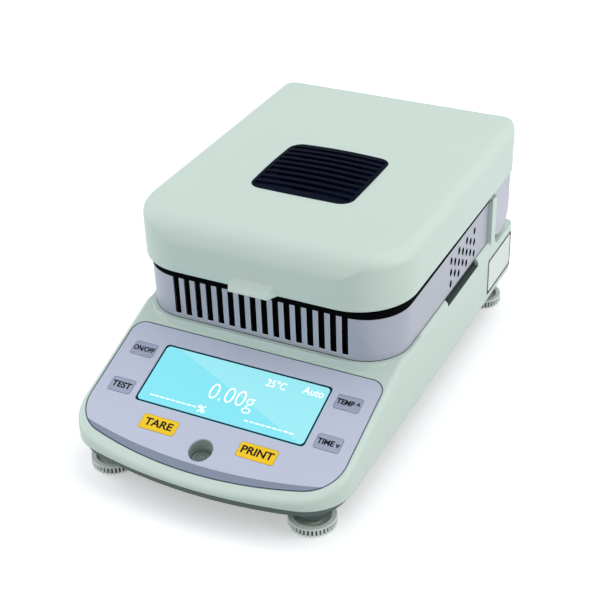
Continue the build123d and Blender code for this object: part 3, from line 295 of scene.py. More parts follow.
def newMaterial(name):
    material = bpy.data.materials.new(name)
    material.use_nodes = True
    return material, Graph(material.node_tree)


plasticBase = {"cloudScale": 14, "speckScale": 900, "cloudMix": 0.9, "speckMix": 0.10, "cloudDark": 0.955,
               "wearAndHighlightTone": 1.12, "wearAndHighlightMix": 0.5, "roughCloud": 0.10, "roughGrain": 0.06,
               "bumpDistance": 0.0002, "metallic": 0.0, "specular": 0.4}


def mouldedPlastic(name, ownLook):
    # moulded or painted plastic: fine spark-eroded grain, faint mottling, edges lighter for wear and a
    # painted highlight
    look = {**plasticBase, **ownLook}
    material, graph = newMaterial(name)
    place = graph.objectPlace()
    base = linearColour(look["colour"])
    cloud = graph.noise(place, look["cloudScale"], 3)
    speck = graph.noise(place, look["speckScale"], 2)
    grain = graph.noise(place, look["grainScale"], 3, 0.6)
    soft, edge = graph.edges(look["edge"])
    darker = toned(base, look["cloudDark"])
    colour = graph.mix(cloud * look["cloudMix"], base, darker)
    colour = graph.mix(speck * look["speckMix"], colour, darker)
    # edges mixed toward a lighter tone: wear, and a painted highlight along them
    colour = graph.mix(edge * look["wearAndHighlightMix"], colour, toned(base, look["wearAndHighlightTone"]))
    rough = look["roughness"] + (cloud - 0.5) * look["roughCloud"] + (grain - 0.5) * look["roughGrain"]
    bump = graph.bump(grain, look["grain"], look["bumpDistance"], soft)
    graph.finishShader({"Base Color": colour, "Roughness": rough, "Normal": bump,
                        "Metallic": look["metallic"], "Specular IOR Level": look["specular"]})
    return material


metalBase = {"ringScale": 1400, "lineDetail": 4, "lineRough": 0.7, "cloudScale": 40, "dark": 0.72,
             "lineMix": 0.35, "cloudMix": 0.2, "edge": 0.0002, "wearAndHighlightMix": 0.4, "roughLine": 0.16,
             "roughCloud": 0.08, "grain": 0.12, "bumpDistance": 0.0001}


def metal(name, ownLook):
    # brushed or cast metal with lines along its least squeezed direction, or turned metal with rings
    look = {**metalBase, **ownLook}
    material, graph = newMaterial(name)
    place = graph.objectPlace()
    base = linearColour(look["colour"])
    if "rings" in look:
        shifted = graph.stretched(place, (1, 1, 1), (-look["rings"][0], -look["rings"][1], 0))
        flat = graph.add("ShaderNodeVectorMath", {"operation": "MULTIPLY"}, {0: shifted, 1: (1, 1, 0)})
        reach = graph.add("ShaderNodeVectorMath", {"operation": "LENGTH"}, {0: flat}, "Value")
        along = graph.vector(x=reach * look["ringScale"])
    else:
        along = graph.stretched(place, look["stretch"])
    lines = graph.noise(along, 1.0, look["lineDetail"], look["lineRough"])
    cloud = graph.noise(place, look["cloudScale"], 3)
    soft, edge = graph.edges(look["edge"])
    colour = graph.mix(lines * look["lineMix"] + cloud * look["cloudMix"], base, toned(base, look["dark"]))
    # edges mixed toward white: wear, and a painted highlight along them
    colour = graph.mix(edge * look["wearAndHighlightMix"], colour, (1, 1, 1, 1))
    rough = look["roughness"] + (lines - 0.5) * look["roughLine"] + (cloud - 0.5) * look["roughCloud"]
    bump = graph.bump(lines, look["grain"], look["bumpDistance"], soft)
    graph.finishShader({"Base Color": colour, "Roughness": rough, "Normal": bump, "Metallic": 1.0})
    return material


glassBase = {"smearScale": 60, "smearRough": 0.03, "smearAlpha": 0.02, "ior": 1.49, "specular": 0.5}


def clearGlass(name, ownLook):
    # glass or clear plastic, a little smeared
    look = {**glassBase, **ownLook}
    material, graph = newMaterial(name)
    smear = graph.noise(graph.objectPlace(), look["smearScale"], 3)
    graph.finishShader({
        "Base Color": linearColour(look["colour"]),
        "Roughness": look["roughness"] + smear * look["smearRough"],
        "Alpha": look["alpha"] + smear * look["smearAlpha"], "IOR": look["ior"],
        "Specular IOR Level": look["specular"]})
    material.surface_render_method = "BLENDED"
    return material


inkBase = {"spreadScale": 1500, "spreadMix": 0.3, "pale": 0.9, "paleLift": 0.01, "roughness": 0.60,
           "spreadRough": 0.15, "specular": 0.15}


def printInk(name, ownLook):
    # printed ink, thin and slightly uneven
    look = {**inkBase, **ownLook}
    material, graph = newMaterial(name)
    spread = graph.noise(graph.objectPlace(), look["spreadScale"], 2)
    base = linearColour(look["colour"])
    pale = toned(base, look["pale"], look["paleLift"])
    sockets = {"Base Color": graph.mix(spread * look["spreadMix"], base, pale),
               "Roughness": look["roughness"] + spread * look["spreadRough"],
               "Specular IOR Level": look["specular"]}
    if "glow" in look:
        sockets["Emission Color"] = base
        sockets["Emission Strength"] = look["glow"]
    graph.finishShader(sockets)
    return material


plasticLooks = {
    "shellMint": {"colour": "CFE0D6", "roughness": 0.42, "grain": 0.10, "grainScale": 2600, "edge": 0.0007,
                  "wearAndHighlightTone": 1.28, "wearAndHighlightMix": 0.8},
    "footShade": {"colour": "18211F", "roughness": 0.60, "grain": 0.16, "grainScale": 2200, "edge": 0.0003},
    "notchShade": {"colour": "42504B", "roughness": 0.65, "grain": 0.2, "grainScale": 1800, "edge": 0.0003},
    "footMint": {"colour": "E4EDE6", "roughness": 0.45, "grain": 0.16, "grainScale": 2200, "edge": 0.0003},
    "housingLilac": {"colour": "AFB2C0", "roughness": 0.34, "grain": 0.12, "grainScale": 2400, "edge": 0.0009,
                     "wearAndHighlightTone": 2.3, "wearAndHighlightMix": 1.0, "metallic": 0.20},
    "sealBlack": {"colour": "020203", "roughness": 0.90, "grain": 0.1, "grainScale": 2400, "edge": 0.0003,
                  "wearAndHighlightTone": 1.0, "specular": 0.04},
    "armLilac": {"colour": "C2C4D2", "roughness": 0.40, "grain": 0.12, "grainScale": 2400, "edge": 0.0006},
    "overlayLilac": {"colour": "C6CBDF", "roughness": 0.55, "grain": 0.08, "grainScale": 4200, "edge": 0.0002,
                     "wearAndHighlightMix": 0.2, "cloudDark": 0.97},
    "stripeSlate": {"colour": "868FA4", "roughness": 0.55, "grain": 0.08, "grainScale": 4200, "edge": 0.0002,
                    "wearAndHighlightMix": 0.2},
    "keyGrey": {"colour": "A3A9C2", "roughness": 0.50, "grain": 0.10, "grainScale": 3800, "edge": 0.0004},
    "keyYellow": {"colour": "FFD006", "roughness": 0.50, "grain": 0.08, "grainScale": 3800, "edge": 0.0004,
                  "wearAndHighlightMix": 0.3},
    "panDark": {"colour": "566462", "roughness": 0.55, "grain": 0.22, "grainScale": 1800, "edge": 0.0004,
                "wearAndHighlightTone": 1.3},
    "blackPlastic": {"colour": "1B1D22", "roughness": 0.50, "grain": 0.25, "grainScale": 1800, "edge": 0.0004,
                     "wearAndHighlightTone": 2.2},
    "grilleNavy": {"colour": "040A1C", "roughness": 0.60, "grain": 0.15, "grainScale": 2600, "edge": 0.0005,
                   "wearAndHighlightTone": 5.0, "wearAndHighlightMix": 0.4, "specular": 0.03},
    "linerDark": {"colour": "08090C", "roughness": 0.80, "grain": 0.2, "grainScale": 2000, "edge": 0.0004,
                  "wearAndHighlightTone": 2.0, "specular": 0.12},
    "levelLining": {"colour": "8E9D98", "roughness": 0.45, "grain": 0.05, "grainScale": 3000, "edge": 0.0002},
    "levelCup": {"colour": "7F8E8A", "roughness": 0.35, "grain": 0.05, "grainScale": 3000, "edge": 0.0002},
    "rubber": {"colour": "141414", "roughness": 0.85, "grain": 0.35, "grainScale": 1500, "edge": 0.0005,
               "specular": 0.2},
    "ceramic": {"colour": "ECE6D8", "roughness": 0.70, "grain": 0.3, "grainScale": 1600, "edge": 0.0003},
    "plateWhite": {"colour": "E4EDE6", "roughness": 0.45, "grain": 0.06, "grainScale": 4200, "edge": 0.0002},
    "boardGreen": {"colour": "1C5F38", "roughness": 0.35, "grain": 0.12, "grainScale": 1200, "edge": 0.0002},
    "supplyGrey": {"colour": "8C8F94", "roughness": 0.42, "grain": 0.18, "grainScale": 1600, "edge": 0.0005,
                   "metallic": 0.5},
}
chamberCentre = (0, 0.0353)
metalLooks = {
    "panAluminium": {"colour": "DCDDDF", "roughness": 0.34, "rings": chamberCentre},
    "turnedAluminium": {"colour": "D2D3D6", "roughness": 0.38, "rings": chamberCentre},
    "milledAluminium": {"colour": "C8C9CC", "roughness": 0.36, "stretch": (60, 1800, 1800)},
    "steel": {"colour": "B4B5B8", "roughness": 0.32, "stretch": (80, 2200, 2200)},
    "screwSteel": {"colour": "A9ABAE", "roughness": 0.36, "stretch": (1500, 1500, 200)},
    "brass": {"colour": "D0A860", "roughness": 0.34, "stretch": (1500, 1500, 120)},
    "reflectorBright": {"colour": "ECECEE", "roughness": 0.12, "rings": chamberCentre, "grain": 0.04},
}
glassLooks = {
    "vialClear": {"colour": "C9D6C4", "roughness": 0.05, "alpha": 0.45},
    "lampGlass": {"colour": "F4F0E6", "roughness": 0.04, "alpha": 0.35},
    "heatGlass": {"colour": "E6F2F0", "roughness": 0.04, "alpha": 0.18},
}
inkLooks = {
    "inkNavy": {"colour": "060912"},
    "inkLine": {"colour": "0C1C34"},
    "inkOutline": {"colour": "2C3446"},
    "inkWhite": {"colour": "FFFFFF", "glow": 0.75},
    "inkGrey": {"colour": "4E5C5A"},
}
finishes = {}
for build, looks in ((mouldedPlastic, plasticLooks), (metal, metalLooks), (clearGlass, glassLooks),
                     (printInk, inkLooks)):
    for name, look in looks.items():
        finishes[name] = build(name, look)

panel = {"slope": math.radians(19), "centre": (0, -0.1082, 0.0566), "window": (0.130, 0.050),
         "windowRound": 0.003}
panelPlace = Matrix.Translation(panel["centre"]) @ Matrix.Rotation(panel["slope"], 4, "X")
displayLook = {"low": "82E6F5", "high": "9CECF5", "cell": "70D4E8", "unlit": "1A3A40", "fall": 0.405,
               "shift": 0.0016, "soft": 0.0004, "cellScale": 2600, "cellMix": 0.10, "roughness": 0.4,
               "glow": 0.93}


def displayMaterial(look):
    # backlit cyan display, lighter above the line that runs down to the right, where a reflection on the
    # window is painted
    material, graph = newMaterial("displayCyan")
    place = graph.objectPlace()
    up = Vector((0, math.cos(panel["slope"]), math.sin(panel["slope"])))
    across = graph.dot(place, (1, 0, 0))
    height = graph.dot(place, tuple(up)) - up.dot(Vector(panel["centre"]))
    # mask of the painted reflection above the slanted line
    paintedReflectionMask = graph.add("ShaderNodeMapRange", {"interpolation_type": "SMOOTHSTEP"}, {
        "Value": height + across * look["fall"] - look["shift"], "From Min": -look["soft"],
        "From Max": look["soft"]})
    cells = graph.noise(graph.stretched(place, (look["cellScale"],) * 3), 1.0, 1)
    glow = graph.mix(paintedReflectionMask, linearColour(look["low"]), linearColour(look["high"]))
    glow = graph.mix(cells * look["cellMix"], glow, linearColour(look["cell"]))
    graph.finishShader({"Base Color": linearColour(look["unlit"]), "Roughness": look["roughness"],
                        "Emission Color": glow, "Emission Strength": look["glow"]})
    return material


finishes["displayCyan"] = displayMaterial(displayLook)
print("finishes ready:", len(finishes))

corners = ("front_left", "front_right", "rear_left", "rear_right")
finishNodes = {
    "shellMint": ["base_cover", "lid_cover", "hinge_housing"],
    "panDark": ["base_pan", "rear_panel"],
    "overlayLilac": ["panel_overlay"],
    "stripeSlate": ["panel_stripe"],
    "displayCyan": ["display_window", "lcd_module"],
    "boardGreen": ["display_board", "main_board"],
    "levelCup": ["level_cup"],
    "vialClear": ["level_vial"],
    "keyGrey": ["key_power", "key_test", "key_temperature", "key_time"],
    "keyYellow": ["key_tare", "key_print"],
    "housingLilac": ["chamber_housing"],
    "linerDark": ["chamber_liner"],
    "turnedAluminium": ["chamber_floor_plate", "draft_shield", "glass_ring"],
    "panAluminium": ["sample_pan"],
    "steel": ["pan_support", "weighing_stem", "temperature_probe", "hinge_pins"],
    "milledAluminium": ["load_cell", "load_cell_bracket"],
    "grilleNavy": ["vent_grille"],
    "armLilac": ["lid_liner"],
    "reflectorBright": ["reflector"],
    "lampGlass": ["halogen_lamp"],
    "ceramic": ["lamp_holder"],
    "heatGlass": ["protective_glass"],
    "screwSteel": ["lid_screws", "pan_screws", "serial_socket"]
                  + ["foot_stud_" + corner for corner in corners],
    "brass": ["hinge_bushes", "foot_inserts"],
    "rubber": ["lid_buffers"] + ["foot_pad_" + corner for corner in corners],
    "supplyGrey": ["power_supply"],
    "blackPlastic": ["power_inlet"],
    "plateWhite": ["rating_plate"],
    "footMint": ["foot_wheel_" + corner for corner in corners],
}
nodeFinish = {node: finish for finish, nodes in finishNodes.items() for node in nodes}
for node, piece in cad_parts.items():
    piece.data.materials.clear()
    piece.data.materials.append(finishes[nodeFinish[node]])
print("packed nodes finished:", len(nodeFinish))


def printedText(name, mark, body, finish):
    # words printed on the panel, squeezed to the width that the mark gives
    curve = bpy.data.curves.new(name + "Line", "FONT")
    curve.body = mark["words"]
    curve.size = mark["size"]
    curve.offset = mark["weight"]
    curve.extrude = mark["depth"] / 2
    curve.align_x = "CENTER"
    curve.align_y = "CENTER"
    curve.resolution_u = 4
    holder = bpy.data.objects.new(name + "Line", curve)
    scene.collection.objects.link(holder)
    mesh = settledMesh(holder, name)
    bpy.data.objects.remove(holder)
    low = min(v.co.x for v in mesh.vertices)
    high = max(v.co.x for v in mesh.vertices)
    mesh.transform(Matrix.Diagonal((mark["width"] / (high - low), 1, 1, 1)))
    mesh.transform(panelPlace @ Matrix.Translation((*mark["centre"], mark["lift"] + mark["depth"] / 2)))
    return newPiece(name, mesh, body, finishes[finish])


keyPrint = {"weight": 0.00022, "lift": 0.00026, "depth": 0.00004}
keyMarks = {
    "key_power": {"body": "power_key", "words": "ON/OFF", "centre": (-0.0795, 0.0158),
                  "size": 0.0056, "width": 0.0168},
    "key_test": {"body": "test_key", "words": "TEST", "centre": (-0.0795, -0.0171),
                 "size": 0.0066, "width": 0.0152},
    "key_temperature": {"body": "temperature_key", "words": "TEMP ^", "centre": (0.0795, 0.0158),
                        "size": 0.0056, "width": 0.0168},
    "key_time": {"body": "time_key", "words": "TIME v", "centre": (0.0795, -0.0171),
                 "size": 0.0056, "width": 0.0162},
    "key_tare": {"body": "tare_key", "words": "TARE", "centre": (-0.0375, -0.0388),
                 "size": 0.0080, "width": 0.0215},
    "key_print": {"body": "print_key", "words": "PRINT", "centre": (0.0375, -0.0388),
                  "size": 0.0080, "width": 0.0235},
}
for node, mark in keyMarks.items():
    printedText(node + "_mark", {**keyPrint, **mark}, mark["body"], "inkNavy")
print("key marks:", len(keyMarks))

displayPrint = {"lift": 0.00002, "depth": 0.00006}
displayMarks = {
    "reading": {"words": "0.00g", "centre": (0.0008, -0.0028), "size": 0.0190, "width": 0.0345,
                "weight": -0.00040},
    "degrees": {"words": "25°C", "centre": (0.0262, 0.0153), "size": 0.0084, "width": 0.0145,
                "weight": -0.00006},
    "mode": {"words": "Auto", "centre": (0.0536, 0.0171), "size": 0.0086, "width": 0.0150,
             "weight": -0.00006},
    "percent": {"words": "%", "centre": (-0.0150, -0.0185), "size": 0.0080, "width": 0.0062, "weight": 0.0},
}
for key, mark in displayMarks.items():
    printedText("display_" + key, {**displayPrint, **mark}, "base", "inkWhite")
print("display marks:", len(displayMarks))


def newGeometryTree(name, inputs):
    # a geometry node tree; inputs gives each label its default value, or None for a mesh
    kinds = {int: "NodeSocketInt", float: "NodeSocketFloat", type(None): "NodeSocketGeometry"}
    tree = bpy.data.node_groups.new(name, "GeometryNodeTree")
    for label, value in inputs.items():
        socket = tree.interface.new_socket(label, in_out="INPUT", socket_type=kinds[type(value)])
        if value is not None:
            socket.default_value = value
    tree.interface.new_socket("Geometry", in_out="OUTPUT", socket_type="NodeSocketGeometry")
    graph = Graph(tree)
    wires = {label: graph.add("NodeGroupInput", {}, {}, label) for label in inputs}
    return tree, graph, wires


def runTree(tree, name, values, mesh=None):
    # runs a tree on a holder object and returns the plain mesh that comes out
    holder = bpy.data.objects.new(name + "Holder", mesh or bpy.data.meshes.new(name + "Empty"))
    scene.collection.objects.link(holder)
    modifier = holder.modifiers.new(name, "NODES")
    modifier.node_group = tree
    identifiers = {item.name: item.identifier for item in tree.interface.items_tree
                   if item.in_out == "INPUT"}
    for label, value in values.items():
        modifier[identifiers[label]] = value
    result = settledMesh(holder, name)
    bpy.data.objects.remove(holder)
    return result


def painted(graph, geometry, finish):
    real = graph.add("GeometryNodeRealizeInstances", {}, {"Geometry": geometry})
    return graph.add("GeometryNodeSetMaterial", {}, {"Geometry": real, "Material": finishes[finish]})


def endTree(graph, geometry, finish):
    graph.add("NodeGroupOutput", {}, {0: painted(graph, geometry, finish)})


# the two rows of short bars at the foot of the display
dashLook = {"Count": 9, "Pitch": 0.0042, "Bar length": 0.0031, "Bar height": 0.0007,
            "Bar depth": displayPrint["depth"]}
dashStarts = {"display_scale_left": (-0.0545, -0.0178), "display_scale_right": (0.0190, -0.0176)}


def dashRowTree():
    tree, graph, wires = newGeometryTree("dashRow", dashLook)
    bar = graph.block(wires["Bar length"], wires["Bar height"], wires["Bar depth"])
    endTree(graph, graph.row(bar, wires["Count"], graph.vector(x=wires["Pitch"])), "inkWhite")
    return tree


dashTree = dashRowTree()
dashHeight = displayPrint["lift"] + displayPrint["depth"] / 2
for name, start in dashStarts.items():
    mesh = runTree(dashTree, name, dashLook)
    mesh.transform(panelPlace @ Matrix.Translation((*start, dashHeight)))
    newPiece(name, mesh, "base", None)

# dark line printed round the display window, and the fine outline round the whole overlay
lineLook = {"width": 0.0013, "innerRound": 0.0030, "lift": 0.00002, "thickness": 0.00004}
linePlace = panelPlace @ Matrix.Translation((0, 0, lineLook["lift"]))
windowWidth, windowHeight = panel["window"]
outer = roundedOutline(windowWidth, windowHeight, panel["windowRound"])
inner = roundedOutline(windowWidth - 2 * lineLook["width"], windowHeight - 2 * lineLook["width"],
                       lineLook["innerRound"])
mesh = bandMesh("display_outline", outer, inner, linePlace, lineLook["thickness"])
newPiece("display_outline", mesh, "base", finishes["inkLine"])

overlayLook = {"topX": 0.088, "topY": 0.0292, "topRound": 0.010, "frontX": 0.070, "frontY": -0.02899,
               "frontRound": 0.028, "frontTurn": 74.7, "bow": 0.293, "bowY": 0.2266, "line": 0.0005,
               "inset": 0.00005}
outer = overlayOutline(overlayLook["inset"], overlayLook)
inner = overlayOutline(overlayLook["inset"] + overlayLook["line"], overlayLook)
mesh = bandMesh("overlay_outline", outer, inner, linePlace, lineLook["thickness"])
newPiece("overlay_outline", mesh, "base", finishes["inkOutline"])

# black seal on the rim of the housing, rising toward the back, and a dark line at its foot: painted shade
# where the housing meets the deck
housingLook = {"half": 0.0991, "front": -0.0654, "rear": 0.123, "frontRound": 0.033, "rearRound": 0.0012}
seals = {
    "housing_seal": {"outer": -0.00012, "inner": 0.0022, "low": 0.1093, "height": 0.0055, "rise": 0.0111,
                     "finish": "sealBlack", "slot": "liner_dark"},
    "housing_joint": {"outer": -0.0002, "inner": 0.0010, "low": 0.0760, "height": 0.0005, "rise": 0.0,
                      "finish": "notchShade", "slot": "housing_lilac"},
}
for name, look in seals.items():
    outer, inner = housingOutline(look["outer"], housingLook), housingOutline(look["inner"], housingLook)
    mesh = bandMesh(name, outer, inner, Matrix.Translation((0, 0, look["low"])), look["height"])
    for vertex in mesh.vertices:
        vertex.co.z += look["rise"] * (vertex.co.y - housingLook["front"])
    newPiece(name, mesh, "base", finishes[look["finish"]])
print("panel outlines and housing seals ready")

# border of the rating plate; the plate is left bare inside it
plate = {"centre": (0.1455, 0.0465), "size": (0.054, 0.031), "radius": 0.0015, "line": 0.0018,
         "innerRound": 0.0022, "lift": 0.00001, "thickness": 0.00004}
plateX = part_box("rating_plate")[1].x
uprightTurn = Matrix(((0, 0, 1, 0), (1, 0, 0, 0), (0, 1, 0, 0), (0, 0, 0, 1)))
platePlace = Matrix.Translation((plateX + plate["lift"], *plate["centre"])) @ uprightTurn
plateLength, plateHeight = plate["size"]
outer = roundedOutline(plateLength, plateHeight, plate["radius"])
inner = roundedOutline(plateLength - 2 * plate["line"], plateHeight - 2 * plate["line"], plate["innerRound"])
mesh = bandMesh("rating_plate_border", outer, inner, platePlace, plate["thickness"])
newPiece("rating_plate_border", mesh, "base", finishes["inkNavy"])
print("rating plate border ready")

# knurled foot wheel: the rim stands out over the ridges, the floor holds the stud and the pad; the wall
# between the ridges is painted dark as shade in the grooves
wheel = {"radius": 0.0152, "bottom": 0.0012, "height": 0.0065, "wall": 0.0026, "floor": 0.0030, "lip": 0.0011,
         "lipReach": 0.0012, "lipEdge": 0.0003, "chamfer": 0.0004, "ridges": 36, "ridgeWidth": 0.00082,
         "ridgeReach": 0.00125, "ridgeRoom": 0.0006, "ridgeSides": 10, "recess": 0.0010, "pad": 0.0123,
         "pivot": 0.00305, "pivotDepth": 0.0011, "steps": 80}
wheelTop = wheel["bottom"] + wheel["height"]
ridgeSizes = {"Ridges": wheel["ridges"], "Radius": wheel["radius"], "Ridge width": wheel["ridgeWidth"],
              "Ridge reach": wheel["ridgeReach"],
              "Ridge height": wheel["height"] - wheel["lip"] - wheel["ridgeRoom"],
              "Lift": wheel["bottom"] + (wheel["height"] - wheel["lip"]) / 2}


def ridgeRingTree():
    # rounded upright ridges round a wheel, added to the wheel's own mesh
    tree, graph, wires = newGeometryTree("ridgeRing", {"Geometry": None, **ridgeSizes})
    ring = graph.add("GeometryNodeMeshCircle", {"fill_type": "NONE"},
                     {"Vertices": wires["Ridges"], "Radius": wires["Radius"]})
    ridge = graph.disc(wheel["ridgeSides"], 1.0, wires["Ridge height"])
    turn = graph.add("GeometryNodeInputIndex") * (2 * math.pi) / wires["Ridges"]
    size = graph.vector(wires["Ridge reach"], wires["Ridge width"], 1.0)
    ridges = graph.add("GeometryNodeInstanceOnPoints", {}, {
        "Points": ring, "Instance": ridge, "Rotation": graph.vector(z=turn), "Scale": size})
    raised = graph.add("GeometryNodeTransform", {},
                       {"Geometry": ridges, "Translation": graph.vector(z=wires["Lift"])})
    both = graph.join([wires["Geometry"], painted(graph, raised, "footMint")])
    graph.add("NodeGroupOutput", {}, {0: both})
    return tree


def wheelOutline(look):
    # section of the wheel from its lower edge up the outside, over the rim and down to the pad's recess
    bottom, outside = look["bottom"], look["radius"]
    inside = outside - look["wall"]
    lipBottom = wheelTop - look["lip"]
    lipOutside = outside + look["lipReach"]
    floorTop, recessTop = bottom + look["floor"], bottom + look["recess"]
    pivotTop = recessTop + look["pivotDepth"]
    return [(outside - look["chamfer"], bottom), (outside, bottom + look["chamfer"]),
            (outside, lipBottom - look["lipEdge"]), (lipOutside, lipBottom),
            (lipOutside, wheelTop - look["lipEdge"]), (lipOutside - look["lipEdge"], wheelTop),
            (inside + look["chamfer"], wheelTop), (inside, wheelTop - look["chamfer"]), (inside, floorTop),
            (0.0, floorTop), (0.0, pivotTop), (look["pivot"], pivotTop), (look["pivot"], recessTop),
            (look["pad"], recessTop), (look["pad"], bottom)]


wheelTree = ridgeRingTree()
wheelProfile = wheelOutline(wheel)
for corner in corners:
    low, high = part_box("foot_stud_" + corner)
    centre = (low + high) / 2
    plain = latheMesh("wheel_" + corner, wheelProfile, (0, 0), wheel["steps"])
    plain.materials.append(finishes["footMint"])
    plain.materials.append(finishes["footShade"])
    # the wall faces between the ridges take the second material, painted shade in the grooves
    for face in plain.polygons:
        onWall = math.hypot(face.center.x, face.center.y) > wheel["radius"] - wheel["lipEdge"]
        standing = abs(face.normal.z) < 0.1
        underLip = face.center.z < wheelTop - wheel["lip"] - wheel["lipEdge"]
        face.material_index = int(onWall and standing and underLip)
    mesh = runTree(wheelTree, "foot_ring_" + corner, ridgeSizes, plain)
    mesh.transform(Matrix.Translation((centre.x, centre.y, 0)))
    ring = newPiece("foot_ring_" + corner, mesh, "wheel_" + corner, None)
    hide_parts("foot_wheel_" + corner)
print("foot wheels knurled:", len(corners))

# dark strip with studs in each side notch, on its wall and on its floor: painted shade in the recess
notchMiddle = 0.063
notchStrips = {
    "wall": {"Depth": 0.0006, "Length": 0.0636, "Strip height": 0.0052, "Stud radius": 0.0007, "Studs": 16},
    "floor": {"Depth": 0.0056, "Length": 0.0636, "Strip height": 0.0004, "Stud radius": 0.0011, "Studs": 16},
}
notchPlaces = {"wall": (0.0963, 0.0731), "floor": (0.0991, 0.0707)}


def studStripTree(inputs, rowShare=0.94, studSides=14, studRise=1.6):
    tree, graph, wires = newGeometryTree("studStrip", inputs)
    strip = graph.block(wires["Depth"], wires["Length"], wires["Strip height"])
    stud = graph.disc(studSides, wires["Stud radius"], wires["Strip height"] * studRise)
    start = graph.vector(y=wires["Length"] * (-rowShare / 2))
    step = graph.vector(y=wires["Length"] * rowShare / (wires["Studs"] - 1))
    studs = graph.row(stud, wires["Studs"], step, start)
    endTree(graph, graph.join([strip, studs]), "notchShade")
    return tree


studTree = studStripTree(notchStrips["wall"])
for part, strip in notchStrips.items():
    for side, sideName in ((-1, "left"), (1, "right")):
        name = "notch_" + part + "_" + sideName
        mesh = runTree(studTree, name, strip)
        mesh.transform(Matrix.Translation((side * notchPlaces[part][0], notchMiddle, notchPlaces[part][1])))
        newPiece(name, mesh, "base", None)
print("notch strips ready")

# painted shade: dark plates in the slots, one on the sill of each louvre slot, one over the mouth of each
# side vent
louvre = {"count": 16, "pitch": 0.0087, "width": 0.0047, "turn": math.radians(27), "front": -0.0654,
          "depth": 0.0076, "sill": 0.0796, "margin": 0.0001, "thickness": 0.0003, "setback": 0.0002,
          "lift": 0.00016}
shadeSizes = {"Count": louvre["count"], "Pitch": louvre["pitch"],
              "Shade width": louvre["width"] - louvre["margin"], "Shade depth": louvre["depth"],
              "Shear": math.tan(louvre["turn"]), "Thickness": louvre["thickness"]}


def centredRow(graph, instance, count, pitch):
    # copies along X, with the middle of the row at the origin
    start = graph.vector(x=pitch * (count - 1) * -0.5)
    return graph.row(instance, count, graph.vector(x=pitch), start)


def louvreShadeTree():
    tree, graph, wires = newGeometryTree("louvreShade", shadeSizes)
    block = graph.block(wires["Shade width"], wires["Shade depth"], wires["Thickness"])
    along = graph.dot(graph.add("GeometryNodeInputPosition"), (0, 1, 0))
    slide = graph.vector(x=along * wires["Shear"] * -1.0)
    shade = graph.add("GeometryNodeSetPosition", {}, {"Geometry": block, "Offset": slide})
    endTree(graph, centredRow(graph, shade, wires["Count"], wires["Pitch"]), "sealBlack")
    return tree


mesh = runTree(louvreShadeTree(), "louvre_shades", shadeSizes)
middle = louvre["depth"] / 2 + louvre["setback"]
mesh.transform(Matrix.Translation((-middle * math.tan(louvre["turn"]), louvre["front"] + middle,
                                   louvre["sill"] + louvre["lift"])))
newPiece("louvre_shades", mesh, "base", None)

vents = {"firstY": 0.0428, "pitchY": 0.00805, "topZ": 0.1023, "pitchZ": 0.0096, "columns": 7, "rows": 3,
         "x": 0.09912}
ventSizes = {"Columns": 4, "Rows": 3, "Column pitch": 2 * vents["pitchY"], "Row pitch": vents["pitchZ"],
             "Plate length": 0.0066, "Plate width": 0.0044, "Corner round": 0.0020}


def ventShadeTree(edgePoints=40):
    # rounded dark plates, one at each point of an upright grid
    tree, graph, wires = newGeometryTree("ventShade", ventSizes)
    frameLine = graph.add("GeometryNodeCurvePrimitiveQuadrilateral", {},
                          {"Width": wires["Plate length"], "Height": wires["Plate width"]})
    roundLine = graph.add("GeometryNodeFilletCurve", {},
                          {"Curve": frameLine, "Radius": wires["Corner round"], "Limit Radius": True})
    dense = graph.add("GeometryNodeResampleCurve", {}, {"Curve": roundLine, "Count": edgePoints})
    plateFace = graph.add("GeometryNodeFillCurve", {}, {"Curve": dense})
    points = graph.grid(wires["Row pitch"] * (wires["Rows"] - 1),
                        wires["Column pitch"] * (wires["Columns"] - 1), wires["Rows"], wires["Columns"])
    endTree(graph, graph.copies(points, plateFace), "sealBlack")
    return tree


# two grids a side, set one in the other: the outer columns with three plates, those between with two
ventTree = ventShadeTree()
ventGrids = {"even": {"Columns": 4, "Rows": 3}, "odd": {"Columns": 3, "Rows": 2}}
ventMiddle = (vents["firstY"] + (vents["columns"] - 1) / 2 * vents["pitchY"],
              vents["topZ"] - (vents["rows"] - 1) / 2 * vents["pitchZ"])
for side, sideName in ((-1, "left"), (1, "right")):
    for gridName, counts in ventGrids.items():
        name = "vent_shades_" + sideName + "_" + gridName
        mesh = runTree(ventTree, name, {**ventSizes, **counts})
        mesh.transform(Matrix.Translation((side * vents["x"], *ventMiddle))
                       @ Matrix.Rotation(math.radians(90 * side), 4, "Y"))
        newPiece(name, mesh, "base", None)
print("slot shades ready")

# cross recesses in the screw heads as painted shade: dark crosses on the heads
crossSizes = {"Slot length": 0.0034, "Slot width": 0.0007, "Slot depth": 0.00006}
screwHead = {"width": 0.0064, "lift": 0.00001}
screwBodies = {"lid_screw_crosses": ("lid", "lid_screws"), "pan_screw_crosses": ("base", "pan_screws")}


def crossTree():
    # one cross at each corner of a grid
    tree, graph, wires = newGeometryTree("screwCross", {**crossSizes, "Gap along": 0.1, "Gap across": 0.1})
    bar = graph.block(wires["Slot length"], wires["Slot width"], wires["Slot depth"])
    turned = graph.add("GeometryNodeTransform", {}, {"Geometry": bar, "Rotation": (0, 0, math.pi / 2)})
    places = graph.grid(wires["Gap across"], wires["Gap along"], 2, 2)
    endTree(graph, graph.copies(places, graph.join([bar, turned])), "sealBlack")
    return tree


crosses = crossTree()
for name, (body, node) in screwBodies.items():
    low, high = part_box(node)
    centre = (low + high) / 2
    gaps = {"Gap along": high.y - low.y - screwHead["width"],
            "Gap across": high.x - low.x - screwHead["width"]}
    mesh = runTree(crosses, name, {**crossSizes, **gaps})
    mesh.transform(Matrix.Translation((centre.x, centre.y, low.z - screwHead["lift"])))
    newPiece(name, mesh, body, None)

